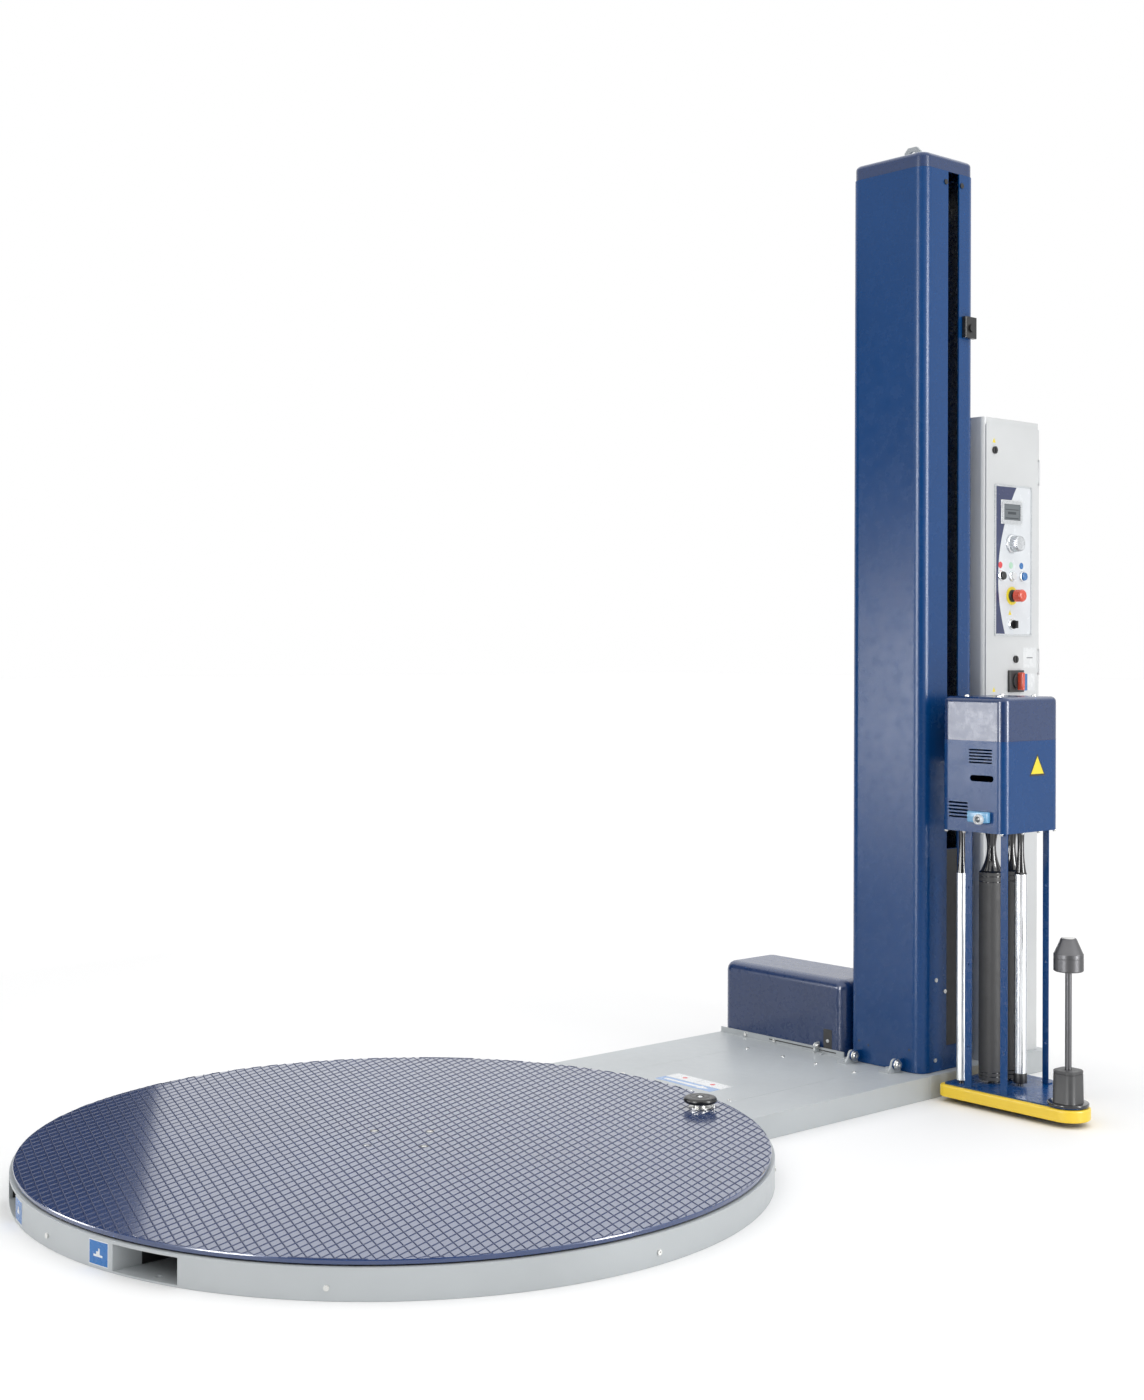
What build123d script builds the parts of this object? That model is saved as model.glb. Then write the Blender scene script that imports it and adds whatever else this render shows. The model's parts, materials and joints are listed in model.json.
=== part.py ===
from build123d import *

import os
from math import atan2, cos, radians, sin, sqrt

# A turntable pallet wrapper. Millimetres, +Z up. The origin is on the floor, on the
# turntable's axis; +Y points to the mast and +X to the side where the film carriage runs.

# ---------------------------------------------------------------- driving dimensions
sheet = 3.0  # usual sheet-metal thickness
running = 0.05  # radial clearance of a shaft that turns in a hole
gap = 0.3  # clearance between faces that move past each other

# turntable and its round base
table_r = 825.0
table_top = 74.0
table_t = 11.0
rim_gap = 7.0  # the ring stands this far outside the plate
ring_top = 60.0
lip_w = 14.0
pan_t = 4.0
wheel_angles = (0, 45, 135, 180, 225, 315)
wheel_inset = 185.0  # from the plate's edge to the circle of the support wheels
wheel_r = 20.0
wheel_w = 22.0
axle_r = 6.0
hub_bolt_r = 89.0  # circle of the four screws that hold the plate to its hub
sprocket_r = 172.0
chain_z = 34.0
chain_h = 8.0
chain_t = 6.0
table_teeth = 48
drive_teeth = 10
tooth_gap_r = 5.0

# fork pockets, which run under the turntable from the side opposite the mast
pocket_inner_x = 205.0
pocket_w = 147.0
pocket_top = 54.0
pocket_stop = 192.0  # from the pockets' end to the ring
anchor_x = 288.0
anchor_inset = 20.0  # from the anchor holes to the inside of the ring
anchor_hole_r = 6.5

# film clamp on the turntable
clamp_inset = 76.5  # from the clamp's centre to the plate's edge
clamp_angle = 71.3
clamp_knob_r = 40.0
clamp_knob_z = 86.0
clamp_knob_top = 101.0
stem_r = 9.0

# platform between the turntable and the mast
platform_right = 350.0  # from the turntable's axis to the platform's sides
platform_left = 400.0
platform_l = 608.0  # from the ring to the rear base
platform_top = 58.5
cover_arc_inset = 42.0  # the deck's round front edge lies this far inside the ring
cover_seam = 0.6

# rear base that carries the motor cover, the mast and the control cabinet
rear_l = 525.0
rear_overhang = 5.0
rear_round = 8.0
rear_t = 6.0
flange_top = 74.0
cover_d = 206.0
cover_top = 265.0
cover_round = 32.0
motor_r = 62.0
motor_l = 110.0
gearbox_half = 55.0

# mast
mast_w = 247.0
mast_d = 223.0
mast_top = 2427.0
mast_foot_z = 59.5
mast_inset = 23.0  # from the platform's side to the mast's side
mast_round = 32.0
mast_wall = 4.0
slot_w = 47.0
slot_inset = 103.0  # from the mast's front face to the slot
slot_foot_z = 640.0
cap_h = 40.0
hinge_reach = 27.0  # from the mast's front face to the hinge pins
hinge_z = 80.0
hinge_pin_r = 6.0
ear_t = 6.0
ear_round = 14.0
ear_gap = 0.5
lug_h = 48.0
lug_hole_r = 11.0
lug_t = 8.0
switch_drop = 407.0  # from the mast's top to the limit switch

# lift drive inside the mast
pulley_r = 36.0
pulley_w = 20.0
belt_t = 3.0
pulley_low_z = 170.0
pulley_drop = 52.0  # from the mast's top to the upper pulley
rail_w = 50.0
rail_t = 12.0

# film carriage
box_clear = 54.0  # from the mast to the carriage body
box_w = 198.0
box_d = 237.0
body_h = 233.0
hood_h = 110.0
box_round = 24.0
box_wall = 2.0
deck_top = 48.0
deck_t = 8.0
deck_foot_z = 14.0
bumper_w = 12.0
bumper_top = 44.5
post_t = 3.0

# rollers on the carriage
film_w = 535.0  # length of the rollers' drums
drum_foot_z = 56.0
neck_l = 111.0  # from the drums' top to the carriage body
spindle_r = 6.0
guide_front_r = 12.5
guide_rear_r = 16.0
stretch_r = 31.5
nip_gap = 4.86  # between the two stretch rollers
nip_angle = 78.52  # the way from the first stretch roller to the second
gear_ratio = 1.5  # turns of the second stretch roller for each turn of the first

# film core holder
core_reach = 150.0  # from the carriage body to the core's axis
core_flange_r = 50.0
core_flange_t = 7.0
core_block_w = 64.0
core_block_top = 134.0
core_cone_r = 36.5
core_tip_r = 18.5
core_cone_foot_z = 376.0
core_cone_step_z = 420.0
core_cone_top_z = 457.0
core_rod_r = 8.0

# control cabinet
cab_w = 237.0
cab_d = 256.0
cab_top = 1793.0
cab_round = 12.0
door_h = 764.0
door_drop = 17.0  # from the cabinet's top to the door
door_margin = 7.0
door_t = 3.0
knuckle_r = 2.8
door_pin_r = 1.2
knuckle_l = 60.0
frame_w = 14.0
fascia_w = 161.0
fascia_h = 403.0
fascia_t = 2.0
button_pitch = 48.0
encoder_shaft_r = 3.0
button_r = 11.0
bezel_r = 14.5
stop_r = 24.0
stop_head_r = 17.0
stop_stem_r = 9.0
key_r = 12.0
key_stem_r = 8.0
lock_r = 10.0
isolator_stem_r = 5.0

# ---------------------------------------------------------------- places worked out
ring_r = table_r + rim_gap
skirt_in_r = ring_r - sheet
table_under = table_top - table_t
wheel_circle_r = table_r - wheel_inset
wheel_z = table_under - gap - wheel_r
drive_sprocket_r = sprocket_r * drive_teeth / table_teeth
pocket_outer_x = pocket_inner_x + pocket_w
pocket_end_y = ring_r - pocket_stop
anchor_y = -sqrt((skirt_in_r - anchor_inset) ** 2 - anchor_x**2)
clamp_x = (table_r - clamp_inset) * cos(radians(clamp_angle))
clamp_y = (table_r - clamp_inset) * sin(radians(clamp_angle))
cover_arc_r = ring_r - cover_arc_inset

# the platform ends where the rear base starts, and everything behind is placed from there
rear_y = ring_r + platform_l
rear_end_y = rear_y + rear_l
rear_top = platform_top
rear_left_x = -platform_left - rear_overhang

mast_low = (platform_right - mast_inset - mast_w, rear_y - 3)
mast_high = (mast_low[0] + mast_w, mast_low[1] + mast_d)
mast_mid_x = (mast_low[0] + mast_high[0]) / 2
mast_mid_y = (mast_low[1] + mast_high[1]) / 2
slot_low_y = mast_low[1] + slot_inset
slot_high_y = slot_low_y + slot_w
slot_mid_y = (slot_low_y + slot_high_y) / 2
hinge_y = mast_low[1] - hinge_reach
hinge_xs = (mast_low[0] + 32, mast_high[0] - 71)
lug_top = mast_top + cap_h + lug_h
lug_hole_z = lug_top - 2 * lug_hole_r
switch_z = mast_top - switch_drop
pulley_x = mast_high[0] - 112
pulley_high_z = mast_top - pulley_drop
rail_x = mast_high[0] - rail_w - 15

cover_low = (-platform_left + 6, rear_y + 4)
cover_high = (mast_low[0] - 18, cover_low[1] + cover_d)
motor_x = cover_high[0] - 202
motor_y = rear_y + 105
chain_slot_x = motor_x * rear_y / motor_y  # the chain's middle where it enters the rear base
motor_axis_z = rear_top + motor_r + 4

box_low = (mast_high[0] + box_clear, mast_low[1] + 6)
box_high = (box_low[0] + box_w, box_low[1] + box_d)
box_foot_z = drum_foot_z + film_w + neck_l
box_seam_z = box_foot_z + body_h
box_top = box_seam_z + hood_h
face_y = box_low[1]
deck_under = deck_top - deck_t
deck_left_x = box_low[0] - 11
deck_right_x = box_high[0] - 11
deck_front_y = box_low[1]
deck_back_y = box_high[1] + 26
spool_x = box_high[0] + core_reach
spool_y = deck_front_y + 54

# rollers: centre and radius
nip = 2 * stretch_r + nip_gap
guide_front = (box_low[0] + 37, box_low[1] + 41, guide_front_r)
guide_rear = (box_low[0] + 152.5, box_low[1] + 133, guide_rear_r)
stretch_a = (box_low[0] + 78.5, box_low[1] + 110.5, stretch_r)
stretch_b = (
    stretch_a[0] + nip * cos(radians(nip_angle)),
    stretch_a[1] + nip * sin(radians(nip_angle)),
    stretch_r,
)
rollers = (guide_front, stretch_a, stretch_b, guide_rear)

cab_low = (mast_low[0] + 12, mast_high[1] + 35)
cab_high = (cab_low[0] + cab_w, cab_low[1] + cab_d)
door_high_z = cab_top - door_drop
door_low_z = door_high_z - door_h
door_face_x = cab_high[0] + door_t
door_hinge_y = cab_high[1] - door_margin
door_hinge_zs = (door_low_z + 90, door_high_z - 150)
fascia_x = door_face_x + fascia_t
panel_y = cab_low[1] + 120  # centre line of the controls
fascia_low = (cab_low[1] + 47, cab_top - 183 - fascia_h)
fascia_high = (fascia_low[0] + fascia_w, cab_top - 183)
display_y = panel_y - 3
display_z = cab_top - 253
encoder_z = cab_top - 339
button_ys = (panel_y - button_pitch, panel_y, panel_y + button_pitch)
button_z = cab_top - 427
stop_z = cab_top - 481
key_z = cab_top - 559
lock_places = ((panel_y - 77, cab_top - 88), (panel_y + 20, cab_top - 654))
isolator_y = panel_y + 18
isolator_z = cab_top - 714

os.makedirs("parts", exist_ok=True)


# ---------------------------------------------------------------- shared shapes
def save(builder, name):
    """Label a finished piece and write its file."""
    builder.part.label = name
    export_step(builder.part, f"parts/{name}.step")


def block(low, high, mode=Mode.ADD):
    """A block between two opposite corners."""
    middle = [(a + b) / 2 for a, b in zip(low, high)]
    with Locations(tuple(middle)):
        Box(*[b - a for a, b in zip(low, high)], mode=mode)


def rod(start, axis, r, length, mode=Mode.ADD):
    """A round bar from start along axis."""
    with Locations(Plane(origin=start, z_dir=axis)):
        Cylinder(r, length, align=(Align.CENTER, Align.CENTER, Align.MIN), mode=mode)


def upright_block(low, high, r, mode=Mode.ADD):
    """A block whose upright corners are rounded."""
    with BuildSketch(Plane.XY.offset(low[2])) as outline:
        with Locations(((low[0] + high[0]) / 2, (low[1] + high[1]) / 2)):
            RectangleRounded(high[0] - low[0], high[1] - low[1], r)
    extrude(outline.sketch, amount=high[2] - low[2], mode=mode)


def turned(angle):
    """The frame turned about +Z, so that its X points along the angle."""
    return Plane(origin=(0, 0, 0), x_dir=(cos(radians(angle)), sin(radians(angle)), 0))


def screw_head(start, axis, r, height):
    """A round-topped screw head with a hexagon socket, seated on a face."""
    rod(start, axis, r, height)
    socket = Plane(origin=Vector(start) + Vector(axis) * height * 0.5, z_dir=axis)
    with BuildSketch(socket) as hexagon:
        RegularPolygon(r * 0.45, 6)
    extrude(hexagon.sketch, amount=height, mode=Mode.SUBTRACT)


def tooth_gaps(x, y, z, r, teeth, gap_r, height):
    """Round cuts on a circle, which leave the teeth of a sprocket or gear."""
    with Locations((x, y, z)):
        with PolarLocations(r, teeth):
            Cylinder(
                gap_r,
                height,
                align=(Align.CENTER, Align.CENTER, Align.MIN),
                mode=Mode.SUBTRACT,
            )


def chain_path():
    """The area inside the chain's loop, round both sprockets."""
    with BuildSketch() as shape:
        with BuildSketch(mode=Mode.PRIVATE) as circles:
            Circle(sprocket_r + gap)
            with Locations((motor_x, motor_y)):
                Circle(drive_sprocket_r + gap)
        make_hull(circles.sketch.edges())
    return shape.sketch


def deck_outline(inset):
    """The carriage deck seen from above: a plate that narrows to the film core."""
    with BuildSketch() as shape:
        with BuildSketch(mode=Mode.PRIVATE) as body:
            with Locations(((deck_left_x + deck_right_x) / 2, (deck_front_y + deck_back_y) / 2)):
                RectangleRounded(deck_right_x - deck_left_x, deck_back_y - deck_front_y, 24)
            with Locations((spool_x, spool_y)):
                Circle(spool_y - deck_front_y)
        make_hull(body.sketch.edges())
        if inset > 0:
            offset(amount=-inset, mode=Mode.REPLACE)
    return shape.sketch


# ---------------------------------------------------------------- welded base frame
with BuildPart() as base_frame:
    rod((0, 0, 0), (0, 0, 1), skirt_in_r, pan_t)
    block((-platform_left, 0, 0), (platform_right, rear_y, pan_t))
    for side, half in ((-1, platform_left), (1, platform_right)):
        outer_x = side * half
        wall_start = sqrt(skirt_in_r**2 - half**2)
        low_x, high_x = sorted((outer_x, side * (half - sheet)))
        block((low_x, wall_start, 0), (high_x, rear_y, platform_top))
        # side strip of the deck, beside the lift-out cover
        with BuildSketch(Plane.XY.offset(platform_top - sheet)) as strip:
            low_x, high_x = sorted((outer_x, side * pocket_inner_x))
            with Locations(((low_x + high_x) / 2, rear_y / 2)):
                Rectangle(high_x - low_x, rear_y)
            Circle(cover_arc_r, mode=Mode.SUBTRACT)
        extrude(strip.sketch, amount=sheet)
        # rail that stiffens the platform and carries the cover's edge
        strut_x = side * (pocket_inner_x + 12)
        block((strut_x - 6, ring_r + 28, pan_t), (strut_x + 6, rear_y, platform_top - sheet))
        with Locations((side * anchor_x, anchor_y)):
            Cylinder(anchor_hole_r, 3 * pan_t, mode=Mode.SUBTRACT)
save(base_frame, "base_frame")

# ---------------------------------------------------------------- ring skirt round the turntable
with BuildPart() as ring_skirt:
    rod((0, 0, 0), (0, 0, 1), ring_r, ring_top)
    rod((0, 0, 0), (0, 0, 1), skirt_in_r, ring_top - sheet, mode=Mode.SUBTRACT)
    rod((0, 0, 0), (0, 0, 1), ring_r - lip_w, ring_top, mode=Mode.SUBTRACT)
    block((-platform_left, 0, 0), (platform_right, ring_r, ring_top), mode=Mode.SUBTRACT)
    for side in (-1, 1):
        low_x, high_x = sorted((side * pocket_inner_x, side * pocket_outer_x))
        block((low_x, -ring_r, pan_t), (high_x, 0, pocket_top), mode=Mode.SUBTRACT)
save(ring_skirt, "ring_skirt")

# ---------------------------------------------------------------- fork pockets
with BuildPart() as fork_pockets:
    for side in (-1, 1):
        low_x, high_x = sorted((side * (pocket_inner_x - sheet), side * (pocket_outer_x + sheet)))
        block((low_x, -ring_r, pan_t), (high_x, pocket_end_y, pocket_top + sheet))
        block(
            (low_x + sheet, -ring_r, pan_t),
            (high_x - sheet, pocket_end_y, pocket_top),
            mode=Mode.SUBTRACT,
        )
    with BuildSketch(Plane.XY.offset(-1)) as outside:
        Rectangle(3 * ring_r, 3 * ring_r)
        Circle(skirt_in_r, mode=Mode.SUBTRACT)
    extrude(outside.sketch, amount=ring_top + 2, mode=Mode.SUBTRACT)
save(fork_pockets, "fork_pockets")

# ---------------------------------------------------------------- what the turntable turns on
cheek = 4.0
wheel_side = 1.0
post_r = 30.0
post_top = 50.0
with BuildPart() as table_supports:
    rod((0, 0, pan_t), (0, 0, 1), 90, 6)
    rod((0, 0, pan_t), (0, 0, 1), post_r, post_top - pan_t)
    with PolarLocations(76, 8):
        with Locations((0, 0, pan_t + 6)):
            Cylinder(5, 3, align=(Align.CENTER, Align.CENTER, Align.MIN))
    for angle in wheel_angles:
        with Locations(turned(angle)):
            for end in (-1, 1):
                near = wheel_circle_r + end * (wheel_w / 2 + wheel_side)
                far = near + end * cheek
                block((min(near, far), -16, pan_t), (max(near, far), 16, wheel_z + 12))
            foot_half = wheel_w / 2 + wheel_side + cheek
            block(
                (wheel_circle_r - foot_half, -24, pan_t),
                (wheel_circle_r + foot_half, 24, pan_t + cheek),
            )
            rod((wheel_circle_r - foot_half, 0, wheel_z), (1, 0, 0), axle_r, 2 * foot_half)
save(table_supports, "table_supports")

for number, angle in enumerate(wheel_angles, start=1):
    with BuildPart() as support_wheel:
        with Locations(turned(angle)):
            rod((wheel_circle_r - wheel_w / 2, 0, wheel_z), (1, 0, 0), wheel_r, wheel_w)
            rod(
                (wheel_circle_r - wheel_w / 2, 0, wheel_z),
                (1, 0, 0),
                axle_r + running,
                wheel_w,
                mode=Mode.SUBTRACT,
            )
    save(support_wheel, f"support_wheel_{number}")

# ---------------------------------------------------------------- hub and sprocket under the turntable
hub_r = 62.0
hub_foot_z = 14.0
with BuildPart() as table_sprocket:
    rod((0, 0, hub_foot_z), (0, 0, 1), hub_r, table_under - hub_foot_z)
    rod((0, 0, table_under - 9), (0, 0, 1), hub_bolt_r + 16, 9)
    rod((0, 0, chain_z), (0, 0, 1), sprocket_r, chain_h)
    bore_l = post_top + 2 - hub_foot_z
    rod((0, 0, hub_foot_z), (0, 0, 1), post_r + running, bore_l, mode=Mode.SUBTRACT)
    tooth_gaps(0, 0, chain_z, sprocket_r, table_teeth, tooth_gap_r, chain_h)
save(table_sprocket, "table_sprocket")

# ---------------------------------------------------------------- turntable plate and film clamp
screw_hole_r = 6.0
screw_sink = 6.5
with BuildPart() as table_plate:
    rod((0, 0, table_under), (0, 0, 1), table_r, table_t)
    chamfer(table_plate.edges().filter_by(GeomType.CIRCLE).group_by(Axis.Z)[-1], 2.5)
    with Locations((0, 0, table_top)):
        with PolarLocations(hub_bolt_r, 4, start_angle=2):
            CounterBoreHole(screw_hole_r, 10, screw_sink, depth=table_t)
save(table_plate, "table_plate")

with BuildPart() as film_clamp_base:
    rod((clamp_x, clamp_y, table_top), (0, 0, 1), 27, 3)
    rod((clamp_x, clamp_y, table_top), (0, 0, 1), 16, clamp_knob_z - table_top - 2)
    rod((clamp_x, clamp_y, table_top), (0, 0, 1), stem_r + running, 20, mode=Mode.SUBTRACT)
    for angle in (45, 165, 285):
        tip = (clamp_x + 31 * cos(radians(angle)), clamp_y + 31 * sin(radians(angle)))
        rod((tip[0], tip[1], table_top), (0, 0, 1), 5, 7)
save(film_clamp_base, "film_clamp_base")

with BuildPart() as film_clamp_knob:
    rod((clamp_x, clamp_y, table_top + gap), (0, 0, 1), stem_r, clamp_knob_z - table_top)
    rod((clamp_x, clamp_y, clamp_knob_z), (0, 0, 1), clamp_knob_r, clamp_knob_top - clamp_knob_z)
    fillet(film_clamp_knob.edges().filter_by(GeomType.CIRCLE).sort_by(SortBy.RADIUS)[-2:], 5)
save(film_clamp_knob, "film_clamp_knob")

# ---------------------------------------------------------------- table drive: sprocket, chain, gearmotor
with BuildPart() as drive_sprocket:
    rod((motor_x, motor_y, chain_z), (0, 0, 1), drive_sprocket_r, chain_h)
    tooth_gaps(motor_x, motor_y, chain_z, drive_sprocket_r, drive_teeth, tooth_gap_r, chain_h)
    rod((motor_x, motor_y, chain_z - 8), (0, 0, 1), 12, 60)
save(drive_sprocket, "drive_sprocket")

with BuildPart() as drive_chain:
    with BuildSketch(Plane.XY.offset(chain_z + 1)):
        add(chain_path())
        offset(amount=chain_t, mode=Mode.REPLACE)
        add(chain_path(), mode=Mode.SUBTRACT)
    extrude(amount=chain_h - 2)
save(drive_chain, "drive_chain")

with BuildPart() as table_gearmotor:
    block(
        (motor_x - gearbox_half, motor_y - 60, rear_top),
        (motor_x + gearbox_half, motor_y + 60, motor_axis_z + 48),
    )
    rod((motor_x, motor_y, rear_top), (0, 0, 1), 12 + running, 42, mode=Mode.SUBTRACT)
    rod((motor_x + gearbox_half, motor_y, motor_axis_z), (1, 0, 0), 38, 100)
    rod((motor_x - gearbox_half, motor_y, motor_axis_z), (-1, 0, 0), motor_r, 18)
    rod((motor_x - gearbox_half - 18, motor_y, motor_axis_z), (-1, 0, 0), motor_r - 6, motor_l)
save(table_gearmotor, "table_gearmotor")

# ---------------------------------------------------------------- platform cover
with BuildPart() as platform_cover:
    with BuildSketch(Plane.XY.offset(platform_top - sheet)):
        with Locations((0, rear_y / 2)):
            Rectangle(2 * (pocket_inner_x - cover_seam), rear_y)
        Circle(cover_arc_r, mode=Mode.SUBTRACT)
    extrude(amount=sheet)
save(platform_cover, "platform_cover")

# ---------------------------------------------------------------- rear base
with BuildPart() as rear_base:
    upright_block((rear_left_x, rear_y, 0), (platform_right, rear_end_y, rear_top), rear_round)
    block(
        (rear_left_x + rear_t, rear_y + rear_t, 0),
        (platform_right - rear_t, rear_end_y - rear_t, rear_top - rear_t),
        mode=Mode.SUBTRACT,
    )
    # the chain's way in, and the gearmotor's shaft
    block(
        (chain_slot_x - 62, rear_y, chain_z - 10),
        (chain_slot_x + 62, rear_y + 2 * rear_t, rear_top - rear_t),
        mode=Mode.SUBTRACT,
    )
    rod((motor_x, motor_y, rear_top - 2 * rear_t), (0, 0, 1), 30, 3 * rear_t, mode=Mode.SUBTRACT)
    # raised flange in front of the motor cover
    block(
        (rear_left_x + rear_round, rear_y, rear_top),
        (cover_high[0], rear_y + sheet, flange_top),
    )
    for x in (mast_low[0] + 50, mast_high[0] - 50):
        block((x - 4, rear_y + rear_t, 0), (x + 4, rear_end_y - rear_t, rear_top - rear_t))
save(rear_base, "rear_base")

# ---------------------------------------------------------------- motor cover
with BuildPart() as motor_cover:
    block((*cover_low, rear_top), (*cover_high, cover_top))
    fillet(motor_cover.edges().filter_by(Axis.Z), cover_round)
    fillet(motor_cover.faces().sort_by(Axis.Z)[-1].edges(), cover_round - 6)
    open_face = motor_cover.faces().sort_by(Axis.Z)[0]
    offset(amount=-sheet, openings=open_face)
    # louvres in the left end
    for row in range(6):
        z = rear_top + 40 + row * 16
        block(
            (cover_low[0], motor_y - 45, z),
            (cover_low[0] + sheet, motor_y + 55, z + 5),
            mode=Mode.SUBTRACT,
        )
save(motor_cover, "motor_cover")

# ---------------------------------------------------------------- mast hinge brackets on the platform
with BuildPart() as mast_hinge_brackets:
    for x in hinge_xs:
        ear = Plane(origin=(x, 0, 0), x_dir=(0, 1, 0), z_dir=(1, 0, 0))
        with BuildSketch(ear) as profile:
            with BuildLine():
                Polyline(
                    (hinge_y - 26, platform_top),
                    (hinge_y + 22, platform_top),
                    (hinge_y + 22, platform_top + 6),
                    (hinge_y + ear_round, hinge_z),
                )
                ThreePointArc(
                    (hinge_y + ear_round, hinge_z),
                    (hinge_y, hinge_z + ear_round),
                    (hinge_y - ear_round, hinge_z),
                )
                Polyline(
                    (hinge_y - ear_round, hinge_z),
                    (hinge_y - 26, platform_top + 6),
                    (hinge_y - 26, platform_top),
                )
            make_face()
            with Locations((hinge_y, hinge_z)):
                Circle(hinge_pin_r + running, mode=Mode.SUBTRACT)
        extrude(profile.sketch, amount=ear_t)
        block((x - 26, hinge_y - 26, platform_top), (x, hinge_y + 22, platform_top + 5))
        screw_head((x - 15, hinge_y - 2, platform_top + 5), (0, 0, 1), 8, 6)
save(mast_hinge_brackets, "mast_hinge_brackets")

# ---------------------------------------------------------------- screws on the base
with BuildPart() as base_screws:
    for angle in (-90.7, 0, -45, -135, 180, 45, 135):
        with Locations(turned(angle)):
            screw_head((ring_r, 0, 24), (1, 0, 0), 5.5, 3)
    for x in (-197, -60, 60, 197):
        for y in (ring_r + 28, rear_y - 110):
            screw_head((x * 0.97, y, platform_top), (0, 0, 1), 5, 2)
    for x in (-300, -190, -38):
        screw_head((x, rear_y, (rear_top + flange_top) / 2), (0, -1, 0), 5, 4)
save(base_screws, "base_screws")

# ---------------------------------------------------------------- mast column
with BuildPart() as mast_column:
    upright_block((*mast_low, mast_foot_z), (*mast_high, mast_top), mast_round)
    upright_block(
        (mast_low[0] + mast_wall, mast_low[1] + mast_wall, mast_foot_z + 8),
        (mast_high[0] - mast_wall, mast_high[1] - mast_wall, mast_top),
        mast_round - mast_wall,
        mode=Mode.SUBTRACT,
    )
    block(
        (mast_high[0] - 2 * mast_wall, slot_low_y, slot_foot_z),
        (mast_high[0], slot_high_y, mast_top),
        mode=Mode.SUBTRACT,
    )
    # a dark channel continues the slot down to the foot
    block(
        (mast_high[0] - 1.5, slot_low_y, mast_foot_z + 60),
        (mast_high[0], slot_high_y, slot_foot_z),
        mode=Mode.SUBTRACT,
    )
    # ears that turn on the hinge pins
    for x in hinge_xs:
        start = x + ear_t + ear_gap
        rod((start, hinge_y, hinge_z), (1, 0, 0), ear_round - 1, ear_t)
        block((start, hinge_y, hinge_z - 12), (start + ear_t, mast_low[1], hinge_z + 13))
        rod((start, hinge_y, hinge_z), (1, 0, 0), hinge_pin_r + gap, ear_t, mode=Mode.SUBTRACT)
save(mast_column, "mast_column")

with BuildPart() as hinge_pins:
    for x in hinge_xs:
        rod((x - 4, hinge_y, hinge_z), (1, 0, 0), hinge_pin_r, 2 * ear_t + ear_gap + 6)
        rod((x + 2 * ear_t + ear_gap + gap, hinge_y, hinge_z), (1, 0, 0), 14, 2)
        screw_head((x + 2 * ear_t + ear_gap + gap + 2, hinge_y, hinge_z), (1, 0, 0), 10, 6)
    for along, z in ((55, 90), (58, 299), (95, 266)):
        screw_head((mast_high[0], mast_low[1] + along, z), (1, 0, 0), 5.5, 3)
save(hinge_pins, "hinge_pins")

with BuildPart() as mast_cap:
    upright_block(
        (mast_low[0] + 2, mast_low[1] + 2, mast_top),
        (mast_high[0] - 2, mast_high[1] - 2, mast_top + cap_h),
        mast_round - 2,
    )
    fillet(mast_cap.faces().sort_by(Axis.Z)[-1].edges(), 12)
    offset(amount=-mast_wall, openings=mast_cap.faces().sort_by(Axis.Z)[0])
save(mast_cap, "mast_cap")

with BuildPart() as lifting_lug:
    foot = Plane(origin=(0, mast_mid_y + lug_t / 2, 0), x_dir=(1, 0, 0), z_dir=(0, -1, 0))
    with BuildSketch(foot) as outline:
        with Locations((mast_mid_x, (mast_top + cap_h + lug_top) / 2)):
            Rectangle(52, lug_top - mast_top - cap_h)
        chamfer(outline.vertices().group_by(Axis.Z)[-1], 12)
        with Locations((mast_mid_x, lug_hole_z)):
            Circle(lug_hole_r, mode=Mode.SUBTRACT)
    extrude(outline.sketch, amount=lug_t)
    block(
        (mast_mid_x - 32, mast_mid_y - 24, mast_top + cap_h),
        (mast_mid_x + 32, mast_mid_y + 24, mast_top + cap_h + 5),
    )
save(lifting_lug, "lifting_lug")

# ---------------------------------------------------------------- inside the mast: rails and lift drive
inner_low_y = mast_low[1] + mast_wall
inner_high_y = mast_high[1] - mast_wall
rail_inset = 30.0
idler_axle_r = 8.0
with BuildPart() as guide_rails:
    for low_y in (mast_low[1] + rail_inset, mast_high[1] - rail_inset - rail_t):
        block((rail_x, low_y, 100), (rail_x + rail_w, low_y + rail_t, mast_top - 4))
    for z in (110, mast_top / 2, mast_top - 14):
        for low_y, high_y in (
            (inner_low_y, mast_low[1] + rail_inset),
            (mast_high[1] - rail_inset, inner_high_y),
        ):
            block((rail_x + 4, low_y, z), (rail_x + rail_w - 20, high_y, z + 10))
    # fixed axle of the upper pulley
    rod((pulley_x, inner_low_y, pulley_high_z), (0, 1, 0), idler_axle_r, inner_high_y - inner_low_y)
save(guide_rails, "guide_rails")

for name, z, bore_r in (
    ("lift_drive_pulley", pulley_low_z, 0),
    ("lift_idler_pulley", pulley_high_z, idler_axle_r + running),
):
    with BuildPart() as pulley:
        side_y = slot_mid_y - pulley_w / 2
        rod((pulley_x, side_y, z), (0, 1, 0), pulley_r, pulley_w)
        if bore_r:
            rod((pulley_x, side_y, z), (0, 1, 0), bore_r, pulley_w, mode=Mode.SUBTRACT)
        else:
            rod((pulley_x, slot_mid_y - 60, z), (0, 1, 0), 10, 60)
    save(pulley, name)

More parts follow.
